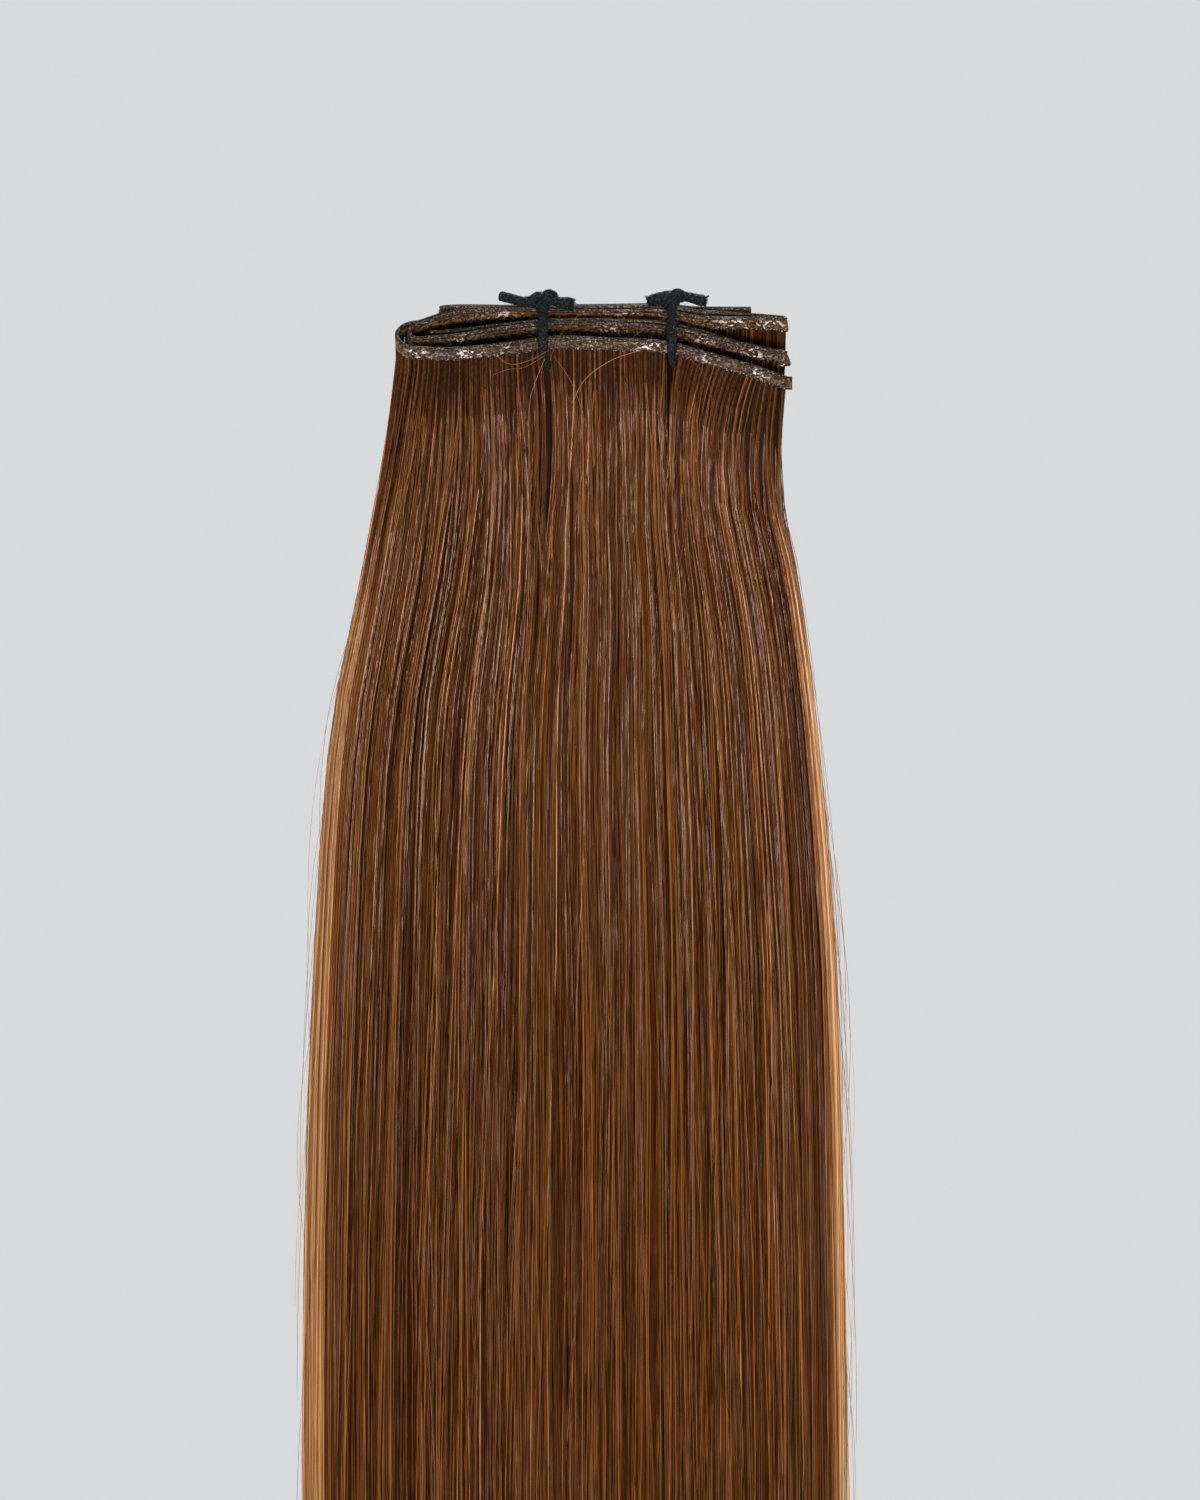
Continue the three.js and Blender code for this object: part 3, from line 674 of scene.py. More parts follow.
# The slits under the left and the right tie: length, how far both sides close in and shift right
SLIT_LENGTHS = np.array([58.0, 34.0])
SLIT_CLOSES = np.array([0.08, -0.05])
SLIT_SHIFTS = np.array([1.1, 0.0])
SLIT_TAPER_FROM = 0.4
SLIT_SHIFT_STARTS = (1.0, 13.0)
SLIT_SHIFT_ENDS = (14.0, 60.0)
# Cut lengths: how uneven wisps and strands are, and the layered ones that are shorter
WISP_CUT = 2.0
STRAND_CUT = (-1.5, 2.0)
LAYERED_SHARE = 0.10
LAYERED_SHORTER = (5.0, 90.0)
SHORT_UNEVEN = (0.85, 1.15)
# Places in the fall: the outermost share of its width, and how deep strands and loops lie
OUTERMOST = 0.995
OUTERMOST_UNEVEN = 0.02
DEEP_POWER = 1.4
LOOP_SHARE = 0.10
LOOP_DEPTHS = (0.55, 0.95)
STRAND_UNEVEN = (0.75, 1.25)
# Wisps in a bundle, and how far wisps, strands and free strands wander across, less near the edges
WISPS = 6
EDGE_CALM = 0.80
EDGE_CALM_SHARES = (0.60, 0.95)
WISP_SPREAD = 0.018
STRAND_SPREAD = 0.35
FREE_SHARE = 0.30
FREE_SPREAD = 1.5
MIXING = (4.0, 46.0)
WISP_SLANT = 0.010
STRAND_SLANT = 0.008
FREE_SLANT = 0.018
SLANT_FROM = 50.0
WAVE_SIZE = 0.6
WAVE_GAMMA = (1.5, 0.6)
WAVE_LENGTHS = (90.0, 280.0)
WAVE_UNEVEN = 0.4
WAVE_GROWS = (20.0, 220.0)
# Tones: the strands' own, and the painted shade and painted light that darken and lighten them
TONE = 0.52
WISP_TONES = 0.035
STRAND_TONES = 0.19
LIGHT_SHARE = 0.06
LIGHT_TONE = 0.18
LEAST_TONE = 0.02
MOST_TONE = 0.85
# Painted shade: strands that lie deeper in the hair are darker
DEEP_PAINTED_SHADE = 0.34
# Painted shade on the sides of each round root bundle, fading out lower down
ROOT_ROUND_PAINTED_SHADE = 0.16
ROOT_SHADE_FADE = (6.0, 34.0)
# Painted light: the thin edges of the fall are lighter, a glow of light through them
LEFT_EDGE = (0.88, 0.985)
RIGHT_EDGE = (0.925, 1.0)
EDGE_PAINTED_GLOW = 0.68
EDGE_DOWN = (24.0, 84.0)


def panels_between(from_x, to_x):
    """The stretches of a run that the ties leave free."""
    edges = [from_x]
    for x in TIE_X:
        if from_x < x < to_x:
            edges += [x - TIE_ROOM, x + TIE_ROOM]
    edges.append(to_x)
    return list(zip(edges[::2], edges[1::2]))


def spaced(low, high):
    return np.linspace(low, high, max(round((high - low) / ROOT_PITCH), 1) + 1)


def run_roots(run, from_x, to_x, tidy=False):
    """Bundles of hair along a run: roots, slope, way along the run and share of the fall."""
    x = np.concatenate([spaced(low, high) for low, high in panels_between(from_x, to_x)])
    if not tidy:
        x = x + np.random.default_rng(ROOT_SEED).uniform(-BUNDLE_SHIFT, BUNDLE_SHIFT, len(x))
    ahead, behind = x + SLOPE_PROBE, x - SLOPE_PROBE
    slope = (drop_at(run, ahead) - drop_at(run, behind)) / (2 * SLOPE_PROBE)
    slant = np.arctan(slope)
    straight = smoothstep(x, *STRAIGHT_FROM)
    under = STRIP_HEIGHT - ROOT_LIFT
    lower = -drop_at(run, x) - under * np.cos(slant)
    point = stack_points(x - under * np.sin(slant), forward_at(run, x), lower)
    along = unit(top_edge(run, ahead) - top_edge(run, behind))
    share = np.interp(x, ROOT_X, ROOT_SHARE)
    slope = slope * (1 - STRAIGHTER * straight)
    return {"x": x, "point": point, "slope": slope, "along": along, "share": share}


def loop_roots(from_run, to_run, reach, edge):
    """Bundles round a loop at the left, from its front end to its back end."""
    half = (forward_at(from_run, LOOP_X) - forward_at(to_run, LOOP_X)) / 2
    count = round(math.pi * (reach + half) / 2 / ROOT_PITCH)
    angle = math.pi * (np.arange(count) + 0.5) / count
    under = STRIP_HEIGHT - ROOT_LIFT
    at = lambda turn: turn_points(from_run, to_run, LOOP_X, -reach, turn, under)
    point = at(angle)
    along = unit(at(angle - TURN_PROBE) - at(angle + TURN_PROBE))
    share = edge - LOOP_SHARE * np.sin(angle)
    return {"point": point, "slope": np.zeros(count), "along": along, "share": share, "angle": angle}


def bundled_roots(roots, chance):
    """Roots at random places in their round bundles, and how far aside each one is."""
    along = roots["along"]
    across = unit(np.cross(along, STACK_UP))
    turn = chance.uniform(0, math.tau, len(along))
    reach = np.sqrt(chance.uniform(0, 1, len(along)))
    wide = (BUNDLE_HALF_WIDE * reach * np.cos(turn))[:, None]
    thick = (BUNDLE_HALF_THICK * reach * np.sin(turn))[:, None]
    return roots["point"] + along * wide + across * thick, reach * np.cos(turn)


def bend(below, length):
    """How far aside a line has gone that starts aslant and bends straight over a length."""
    near = np.clip(below / length, 0.0, 1.0)
    return length / 2 * (1 - (1 - near) ** 2)


def strand_paths(roots, root, shares, depths, below):
    """Lines of strands: out of a strip in its tilt, bending down, gathering into the fall."""
    hanging_y = root[:, None, 1] + bend(below, HAIR_BEND) * math.tan(STACK_TILT)
    z = root[:, None, 2] - below
    mid_x, half_x, mid_y, half_y = hair_level(-z)
    x = mid_x + shares * half_x
    outer = smoothstep(np.abs(shares), *OUTER_SHARES)
    started = x + outer * (x[:, :1] - x)
    lean = root[:, None, 0] - started - bend(below, SIDE_BEND) * roots["slope"][:, None]
    x = x + lean * (1 - smoothstep(below, *SIDE_GATHER))
    y = mid_y + depths * half_y * lens(shares)
    y = hanging_y + (y - hanging_y) * smoothstep(below, *DEPTH_GATHER)
    return np.stack([x, y, z], axis=-1)


def tie_sides(points):
    """How far points are from the nearest tie, across, and that tie's number."""
    apart = points[:, :1] - np.array(TIE_X)
    nearest = np.argmin(np.abs(apart), axis=1)
    return np.take_along_axis(apart, nearest[:, None], axis=1)[:, 0], nearest


def strand_lengths(roots, of_wisp, chance, long):
    """How far below its root each strand's points are."""
    count = len(roots["share"])
    if not long:
        return SHORT_STATIONS[None, :] * chance.uniform(*SHORT_UNEVEN, count)[:, None]
    cut = of_wisp(chance.normal, 0, WISP_CUT) + chance.normal(*STRAND_CUT, count)
    layered = chance.uniform(0, 1, count) < LAYERED_SHARE
    drop = HAIR_END + roots["point"][:, 2] + cut - layered * chance.uniform(*LAYERED_SHORTER, count)
    return LONG_STATIONS[None, :] / HAIR_LENGTH * drop[:, None]


def strand_tones(share, deep, aside, below, of_wisp, chance):
    """Tones along the strands: painted shade deep in the hair and on the sides of the round root bundles,
    and painted light at the fall's two edges.
    """
    count = len(share)
    own = of_wisp(chance.normal, 0, WISP_TONES) + chance.normal(0, STRAND_TONES, count)
    own += LIGHT_TONE * (chance.uniform(0, 1, count) < LIGHT_SHARE)
    # Painted shade: deeper strands are made darker
    tone = np.minimum(TONE + own - DEEP_PAINTED_SHADE * deep, MOST_TONE)
    # Painted light: a glow at the fall's two edges, growing lower down
    edge_painted_glow = EDGE_PAINTED_GLOW * (smoothstep(-share, *LEFT_EDGE) + smoothstep(share, *RIGHT_EDGE))
    tones = tone[:, None] + edge_painted_glow[:, None] * smoothstep(below, *EDGE_DOWN)
    # Painted shade: strands at the sides of a root bundle are darker near the roots
    tones = tones - (ROOT_ROUND_PAINTED_SHADE * aside ** 2)[:, None] * (1 - smoothstep(below, *ROOT_SHADE_FADE))
    return np.clip(tones, LEAST_TONE, 1.0)


def wander(share, kept_off, mixing, below, of_wisp, chance):
    """How far aside the strands wander on their way down: strays, slants and long waves."""
    count = len(share)
    calm = 1 - EDGE_CALM * smoothstep(np.abs(share), *EDGE_CALM_SHARES)
    free = chance.uniform(0, 1, count) < FREE_SHARE
    stray = chance.normal(0, 1, count) * np.where(free, FREE_SPREAD, STRAND_SPREAD)
    aside = kept_off((stray * calm)[:, None]) * mixing
    slant = of_wisp(chance.normal, 0, WISP_SLANT)
    slant = slant + chance.normal(0, 1, count) * np.where(free, FREE_SLANT, STRAND_SLANT)
    aside = aside + (calm * slant)[:, None] * below ** 2 / (below + SLANT_FROM)
    size = (WAVE_SIZE * calm * of_wisp(chance.gamma, *WAVE_GAMMA))[:, None]
    length = of_wisp(chance.uniform, *WAVE_LENGTHS)[:, None]
    phase = of_wisp(chance.uniform, 0, math.tau) + chance.normal(0, WAVE_UNEVEN, count)
    wave = np.sin(math.tau * below / length + phase[:, None])
    return aside + size * smoothstep(below, *WAVE_GROWS) * wave


def strand_depths(roots, depth_range, of_wisp, chance):
    """How deep in its layer each strand lies, and its depth in the fall."""
    count = len(roots["share"])
    deep = of_wisp(chance.uniform, 0, 1) + chance.uniform(0, 1, count)
    deep = np.minimum(0.5 * deep ** DEEP_POWER, 1.0)
    if "angle" in roots:
        return deep, -np.cos(roots["angle"]) * chance.uniform(*LOOP_DEPTHS, count)
    outer, inner = depth_range
    return deep, outer + (inner - outer) * deep


def beside_ties(roots, below):
    """What keeps a strand's wandering off the slits, and how far the slits shift the strands."""
    from_tie, tie = tie_sides(roots["point"])
    side = np.sign(from_tie)
    parted = np.exp(-(from_tie / PARTED_REACH) ** 2)
    slit_share = below / SLIT_LENGTHS[tie][:, None]
    open_slit = (parted > PARTED_LEAST)[:, None] * (1 - smoothstep(slit_share, SLIT_TAPER_FROM, 1.0))
    kept_off = lambda aside: aside + open_slit * (np.abs(aside) * side[:, None] - aside)
    shift = (parted * (SLIT_SHIFTS[tie] - SLIT_CLOSES[tie] * side))[:, None]
    shift = shift * smoothstep(below, *SLIT_SHIFT_STARTS) * (1 - smoothstep(below, *SLIT_SHIFT_ENDS))
    return kept_off, shift


def strands(name, roots, per_bundle, depth_range, material, seed, long=True):
    """One mesh of many strands: each bundle of roots falls in a few wisps that keep together."""
    chance = np.random.default_rng(seed)
    wisps = len(roots["share"]) * WISPS
    each = per_bundle // WISPS
    count = wisps * each
    roots = {key: np.repeat(value, WISPS * each, axis=0) for key, value in roots.items()}
    of_wisp = lambda draw, *sizes: np.repeat(draw(*sizes, wisps), each)
    rooted = roots["share"]
    edge = OUTERMOST - OUTERMOST_UNEVEN * chance.uniform(0, 1, count)
    share = np.clip(rooted + of_wisp(chance.normal, 0, WISP_SPREAD), -edge, edge)
    deep, depth = strand_depths(roots, depth_range, of_wisp, chance)
    below = strand_lengths(roots, of_wisp, chance, long)
    mixing = smoothstep(below, *MIXING)
    kept_off, slit_shift = beside_ties(roots, below)
    shares = rooted[:, None] + mixing * kept_off((share - rooted)[:, None])
    depths = np.broadcast_to(depth[:, None], below.shape)
    root, aside = bundled_roots(roots, chance)
    lines = strand_paths(roots, root, shares, depths, below)
    lines[..., 0] += wander(share, kept_off, mixing, below, of_wisp, chance)
    lines[..., 0] += slit_shift
    tones = strand_tones(share, deep, aside, below, of_wisp, chance)
    radius = STRAND_RADIUS * chance.uniform(*STRAND_UNEVEN, count)
    strand_mesh(name, lines, radius, tones, chance, material)


def thin_tubes(lines, across, radius, turn):
    """Rings of a few points round many lines: the radius of each ring, and each line's turn."""
    tangent = unit(np.gradient(lines, axis=1))
    first = unit(np.cross(tangent, np.array(across)))
    second = np.cross(first, tangent)
    corner = turn[:, None] + np.arange(STRAND_SIDES) * STRAND_SIDE_TURN
    cos = np.cos(corner)[:, None, :] * radius[:, :, None]
    sin = np.sin(corner)[:, None, :] * radius[:, :, None]
    return rings_round(lines, first, second, cos, sin).reshape(-1, 3)


def strand_mesh(name, lines, radius, tones, chance, material):
    """Closed thin tubes along the lines, tapered at the tips, each with its own tone."""
    count, rings = lines.shape[:2]
    taper = np.ones(rings)
    taper[-1] = TIP_TAPER
    turn = chance.uniform(0, math.tau, count)
    points = thin_tubes(lines, (0.0, 1.0, 0.0), radius[:, None] * taper, turn)
    faces = sweep_faces(count, rings, STRAND_SIDES)
    piece = make_piece(name, points, faces, material, smooth=False)
    point_values(piece, "tone", tones[:, :, None], (count, rings, STRAND_SIDES))
    columns = round(math.sqrt(count))
    sweep_map(piece, count, rings, STRAND_SIDES, chunk=rings - 1, columns=columns)


def join_roots(*groups):
    keys = set(groups[0]).intersection(*groups[1:])
    return {key: np.concatenate([group[key] for group in groups]) for key in keys}


CORE_SIDES = 64
CORE_DOWNS = (34.0, 60.0, 90.0, 130.0, 180.0, 240.0, 300.0, 360.0, 410.0, 440.0, 461.0)
CORE_DEPTH = 0.62
CORE_WIDTH = 0.94
CORE_DEEPENS = (20.0, 60.0)
CORE_UNDER_TIES = 1.0
CORE_DROOP_FROM = 20.0
CORE_DROOP = 0.42
CORE_RAGGED = 15.0
CORE_SEED = 71


def hair_core(material):
    """The mass inside the strands, dark with painted shade, its top in the tilt of the stack just under
    the ties.
    """
    angle = (np.arange(CORE_SIDES) + 0.5) / CORE_SIDES * math.tau
    share = CORE_WIDTH * np.cos(angle)
    side = np.sign(np.sin(angle))
    rings = []
    for down in CORE_DOWNS:
        mid_x, half_x, mid_y, half_y = hair_level(np.full(CORE_SIDES, down))
        depth = CORE_DEPTH * smoothstep(down, *CORE_DEEPENS)
        x = mid_x + share * half_x
        y = mid_y + depth * side * half_y * lens(share)
        rings.append(np.stack([x, y, np.full(CORE_SIDES, -down)], axis=-1))
    rings[-1][:, 2] += np.random.default_rng(CORE_SEED).uniform(0.0, CORE_RAGGED, CORE_SIDES)
    top = rings[0].copy()
    under = TIE_LOW - CORD_RADIUS - CORE_UNDER_TIES
    droop = np.maximum(top[:, 0] - CORE_DROOP_FROM, 0.0) * CORE_DROOP
    top[:, 2] = top[:, 1] * math.tan(STACK_TILT) + under / math.cos(STACK_TILT) - droop
    top[:, 2] = np.maximum(top[:, 2], -CORE_DOWNS[0] + 1.0)
    rings = np.stack([top, *rings])
    faces = sweep_faces(1, len(rings), CORE_SIDES)
    piece = make_piece("hair_core", rings.reshape(-1, 3), faces, material)
    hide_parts("hair_fall")


# Single hairs that lie over the front: points of x, y and z in millimetres
STRAY_HAIRS = (
    ((-12.6, -13.0, -9.5), (-17.3, -14.6, -11.7), (-21.8, -15.2, -12.6), (-24.8, -15.0, -11.1),
     (-25.8, -14.4, -9.5)),
    ((-13.6, -13.4, -10.8), (-18.6, -14.4, -13.5), (-22.8, -14.2, -14.1), (-26.5, -13.6, -15.6)),
    ((-11.4, -13.4, -10.8), (-7.2, -12.6, -17.3), (-4.5, -11.6, -24.6), (-3.0, -10.8, -31.4),
     (-3.6, -10.6, -44.0)),
    ((-13.6, -13.2, -11.5), (-16.1, -12.4, -18.0), (-17.3, -11.4, -22.6), (-17.6, -10.8, -33.0)),
    ((22.0, -2.6, 0.8), (18.8, -6.4, -0.9), (15.3, -9.4, -2.5), (11.9, -11.8, -3.7), (8.2, -13.4, -6.0)),
    ((9.9, -13.4, -9.4), (2.5, -13.2, -12.1), (-3.7, -12.4, -16.9), (-7.0, -11.8, -23.0)),
    ((22.3, -14.0, -11.4), (24.8, -13.6, -14.2), (27.0, -13.0, -18.0), (27.8, -12.0, -26.0)),
    ((-2.0, -4.0, 0.5), (-6.4, -8.0, -2.6), (-10.4, -12.6, -6.9), (-12.4, -14.4, -12.0)),
    ((-9.0, -10.8, -26.0), (-2.0, -11.6, -60.0), (4.0, -13.2, -96.0), (5.0, -14.0, -130.0)),
    ((24.0, -11.6, -34.0), (20.0, -11.8, -62.0), (13.0, -13.4, -98.0), (11.0, -14.2, -140.0)),
)
STRAY_STATIONS = 20
STRAY_TONES = (0.55, 1.0)
STRAY_SEED = 61
# Hairs that stand off the edges: their number, tops, lengths, reach and its share, bend and depths
FLYAWAYS = 44
FLYAWAY_SIDES = (1, 1, 1, -1, -1)
FLYAWAY_TOPS = (70.0, 330.0)
FLYAWAY_LENGTHS = (60.0, 130.0)
FLYAWAY_REACH = 4.5
FLYAWAY_SHARES = (0.3, 1.0)
FLYAWAY_BENDS = (1.6, 2.9)
FLYAWAY_ROOTED = 1.2
FLYAWAY_DEPTHS = (-4.0, 4.0)


def stray_hairs(material):
    """Single hairs lying over the front, and hairs that stand off the two edges of the fall."""
    chance = np.random.default_rng(STRAY_SEED)
    lines = [evenly_counted(curve_through(points), STRAY_STATIONS)[0] for points in STRAY_HAIRS]
    t = np.linspace(0.0, 1.0, STRAY_STATIONS)
    for number in range(FLYAWAYS):
        side = FLYAWAY_SIDES[number % len(FLYAWAY_SIDES)]
        start = chance.uniform(*FLYAWAY_TOPS)
        down = start + chance.uniform(*FLYAWAY_LENGTHS) * t
        mid_x, half_x, mid_y, _ = hair_level(down)
        reach = FLYAWAY_REACH * chance.uniform(*FLYAWAY_SHARES)
        leave = reach * np.sin(t * chance.uniform(*FLYAWAY_BENDS)) - FLYAWAY_ROOTED
        y = mid_y + chance.uniform(*FLYAWAY_DEPTHS)
        lines.append(np.stack([mid_x + side * (half_x + leave), y, -down], axis=1))
    lines = np.array(lines)
    radius = np.full(len(lines), STRAY_RADIUS)
    tones = np.broadcast_to(chance.uniform(*STRAY_TONES, len(lines))[:, None], lines.shape[:2])
    strand_mesh("hair_stray", lines, radius, tones, chance, material)


CURTAIN_RUNS = ("front", "second", "third", "fourth")
CURTAIN_PANELS = ((-44.4, -15.7), (-12.3, 16.0), (19.4, 46.0))
CURTAIN_BELOW = np.array([-0.6, 3.0, 7.0, 12.0, 18.0, 26.0, 36.0])
CURTAIN_HALF = 0.12
CURTAIN_SETBACK = 0.25
# Depths in the fall of the sheets that hang from the backmost and the foremost places
CURTAIN_FORWARD = (-2.5, 17.0)
CURTAIN_DEPTHS = (0.5, -0.55)


def curtain(run, from_x, to_x):
    """A thin sheet of painted shade behind one run's roots, down into the falling hair."""
    roots = run_roots(run, from_x, to_x, tidy=True)
    depth = np.interp(forward_at(run, roots["x"]), CURTAIN_FORWARD, CURTAIN_DEPTHS)
    below = np.broadcast_to(CURTAIN_BELOW, (len(depth), len(CURTAIN_BELOW)))
    shares = np.broadcast_to(roots["share"][:, None], below.shape)
    depths = np.broadcast_to(depth[:, None], below.shape)
    middle = strand_paths(roots, roots["point"], shares, depths, below)
    middle[..., 1] += CURTAIN_SETBACK
    thick = np.array([0.0, CURTAIN_HALF, 0.0])
    return np.concatenate([middle + thick, (middle - thick)[:, ::-1]], axis=1)


def shade_curtains(material):
    """Sheets of painted shade that close the view between the strips."""
    sheets = [curtain(run, *panel) for run in CURTAIN_RUNS for panel in CURTAIN_PANELS]
    for low, high in CURTAIN_PANELS:
        sheets.append(curtain("far", max(low, BACK_FOLD_X), min(high, BACK_END_X - 1.0)))
    points, faces = join_sweeps(sheets)
    make_piece("shade_curtains", points, faces, material)


# Stretches of the runs where hair is rooted: run, from x, to x
FRONT_ROOTS = ("front", -44.6, 46.4)
BACK_ROOTS = (("fourth", -44.6, -39.2), ("far", -38.0, 36.8), ("fourth", 38.2, 44.6))
RIGHT_ROOTS = (("second", 39.0, 45.0), ("third", 38.0, 45.0))
OUTER_LOOP_SHARE = -0.90
INNER_LOOP_SHARE = -0.86
# Short hair of the inner runs: name, run, from x, to x, strands in a bundle, depths, seed
SHORT_HAIR = (
    ("hair_second", "second", -44.6, 45.0, 18, (-0.55, -0.30), 25),
    ("hair_tucked", "tucked", -41.4, 44.6, 6, (-0.30, -0.10), 26),
    ("hair_third", "third", -44.6, 45.0, 18, (-0.05, 0.15), 27),
    ("hair_fourth", "fourth", -38.5, 38.0, 6, (0.2, 0.4), 28),
    ("hair_near", "near", -38.0, 36.8, 6, (0.4, 0.6), 29),
)


def all_hair(material, shaded_inner_material):
    """Core and sheets dark with painted shade, long hair all round, and short hair between the runs."""
    hair_core(shaded_inner_material)
    shade_curtains(shaded_inner_material)
    front = run_roots(*FRONT_ROOTS)
    back = join_roots(*(run_roots(*stretch) for stretch in BACK_ROOTS))
    right = join_roots(*(run_roots(*stretch) for stretch in RIGHT_ROOTS))
    outer = loop_roots("front", "fourth", OUTER_LOOP_REACH, OUTER_LOOP_SHARE)
    inner = loop_roots("second", "third", INNER_LOOP_REACH, INNER_LOOP_SHARE)
    split = len(front["share"]) // 2
    left_half = {key: value[:split] for key, value in front.items()}
    right_half = {key: value[split:] for key, value in front.items()}
    strands("hair_front_left", left_half, 48, (-1.0, -0.60), material, 21)
    strands("hair_front_right", right_half, 48, (-1.0, -0.60), material, 22)
    strands("hair_back", back, 24, (1.0, 0.60), material, 23)
    strands("hair_side", outer, 42, (-1.0, 1.0), material, 24)
    stray_hairs(material)
    strands("hair_right", right, 24, (-0.7, 0.5), material, 31)
    for name, run, from_x, to_x, per_bundle, depths, seed in SHORT_HAIR:
        strands(name, run_roots(run, from_x, to_x), per_bundle, depths, material, seed, long=False)
    strands("hair_inner_loop", inner, 24, (-0.5, 0.5), material, 30, long=False)


# The ties

CORD_SIDES = 24
CORD_STEP = 0.18
BRAID_STRANDS = 5
BRAID_PITCH = 1.5
BRAID_RELIEF = 0.16
# The share by which the hair pinches a tie where it passes under, and the heights over which
LOOP_PINCH = 0.36
PINCH_REACH = (0.6, 6.0)
BRAID_MIDDLE = 0.45
# From where along a cord its end swells, and the share of its radius that a rounded end keeps
SWELL_FROM = 0.45
END_KEEPS = 0.45
BEAD_HALF = 0.55
TIE_GAP = CLEAR + 0.1
# Fibres of a frayed end: radius, lengths, how far they splay, and how far back they are rooted
FIBRE_RADIUS = 0.06
FIBRE_LENGTHS = (0.7, 1.5)
FIBRE_SPLAYS = (0.05, 0.45)
FIBRE_ROOT = 0.8
FIBRE_YARNS = (0.3, 1.0)
TIE_SEED = 41
# Turns of cord that make up a knot: points of x, forward and up from its middle
KNOT_TURNS = (
    ((-2.6, 0.5, -1.7), (-2.3, 0.9, -0.2), (-1.4, 0.8, 0.5), (-0.5, 0.4, -0.2), (-0.3, 0.2, -1.7)),
    ((0.0, 0.3, -1.4), (0.4, 0.7, 0.4), (1.4, 0.6, 1.1), (2.4, 0.4, 0.4), (2.7, 0.2, -1.5)),
    ((-1.6, 1.4, -1.9), (-0.5, 1.7, -1.2), (0.7, 1.5, -0.8), (1.9, 0.9, -1.0)),
)
# Ties, and for each tail the radius of its end, its fibres, and points of x, forward and up
TIES = (
    {
        "name": "tie_cord_left", "x": TIE_X[0], "low_x": -13.0, "low": TIE_LOW, "knot": (0.7, 2.9),
        "tails": (
            (1.25, 0, ((-18.5, 2.0, 2.2), (-22.0, 1.0, 2.3), (-25.0, 0.1, 2.5))),
            (1.7, 170, ((-10.5, 2.4, 2.5), (-8.4, 3.0, 2.5), (-7.0, 3.5, 2.5))),
        ),
    },
    {
        "name": "tie_cord_right", "x": TIE_X[1], "low_x": 18.2, "low": TIE_LOW + 2.5, "knot": (0.6, 3.1),
        "tails": (
            (1.45, 170, ((14.6, 1.0, 2.7), (13.2, 1.2, 2.1), (12.2, 1.3, 1.7))),
            (1.45, 120, ((21.2, 1.0, 3.0), (24.0, 1.6, 2.6), (26.0, 1.9, 2.2))),
        ),
    },
)


def tie_route(tie):
    """The way of a tie round the bundle, from the knot and back to it."""
    x, low_x, low = tie["x"], tie["low_x"], tie["low"]
    knot_forward, knot_up = tie["knot"]
    front, far = float(forward_at("front", x)), float(forward_at("far", x))
    middle = (front + far) / 2
    over = CORD_RADIUS + TIE_GAP
    ahead = BEAD_HALF + CORD_RADIUS + TIE_GAP
    far_top = -float(drop_at("far", x))
    far_foot = far_top - STRIP_HEIGHT - CORD_RADIUS - TIE_GAP
    far_over = far_top + CORD_RADIUS + 0.2
    route = np.array((
        (x, knot_forward, knot_up - 1.7),
        (x, knot_forward + 2.6, over + 0.2),
        (x, middle + 1.0, over),
        (x, front - 0.8, over),
        (x, front + ahead * 0.65, over * 0.8),
        (x, front + ahead, -0.6),
        (x, front + ahead, -STRIP_HEIGHT + 1.3),
        ((x + low_x) / 2, front + ahead, -STRIP_HEIGHT - 1.2),
        (low_x, front + ahead * 0.75, low + 1.4),
        (low_x, front - 0.6, low),
        (low_x, middle, low + 0.3),
        (low_x, far + 0.6, far_foot - 0.2),
        (x, far - ahead * 0.8, far_foot + 1.4),
        (x, far - ahead, -STRIP_HEIGHT + 0.8),
        (x, far - ahead, far_over - 1.0),
        (x, far - ahead * 0.5, far_over),
        (x, (far + knot_forward) / 2, over - 1.0),
        (x, knot_forward, knot_up - 1.7),
    ))
    return stack_points(*route.T)


def carried_frame(tangent):
    """Two ways across a line at each point, carried along it without twisting."""
    first = np.empty_like(tangent)
    start = np.array([0.0, 1.0, 0.0]) if abs(tangent[0, 1]) < 0.8 else np.array([1.0, 0.0, 0.0])
    for i, way in enumerate(tangent):
        start = start - way * (start @ way)
        start = start / np.linalg.norm(start)
        first[i] = start
    return first, np.cross(first, tangent)


def braided_cord(line, end_radius, pinch=0.0):
    """A braided cord along a line: its rings of points and their relief."""
    points, along = evenly(line, CORD_STEP)
    tangent = unit(np.gradient(points, axis=0))
    first, second = carried_frame(tangent)
    angle = np.arange(CORD_SIDES) / CORD_SIDES * math.tau
    s = along[:, None]
    one_way = BRAID_STRANDS * angle + math.tau * s / BRAID_PITCH
    other_way = BRAID_STRANDS * angle - math.tau * s / BRAID_PITCH
    over = np.sign(np.cos(BRAID_STRANDS * angle) * np.cos(math.tau * s / BRAID_PITCH))
    yarn = np.where(over > 0, np.abs(np.cos(one_way / 2)), np.abs(np.cos(other_way / 2)))
    swell = smoothstep(along, along[-1] * SWELL_FROM, along[-1])[:, None]
    closing = np.sqrt(np.clip((along[-1] - along) / (0.5 * CORD_RADIUS), 0.0, 1.0))[:, None]
    radius = CORD_RADIUS + (end_radius - CORD_RADIUS) * swell
    radius = radius * (END_KEEPS + (1 - END_KEEPS) * closing)
    height = points[:, 2:] - points[:, 2].min()
    radius = radius * (1 - pinch * (1 - smoothstep(height, *PINCH_REACH)))
    radius = radius + BRAID_RELIEF * (yarn - BRAID_MIDDLE)
    rings = rings_round(points, first, second, radius * np.cos(angle), radius * np.sin(angle))
    return rings, yarn


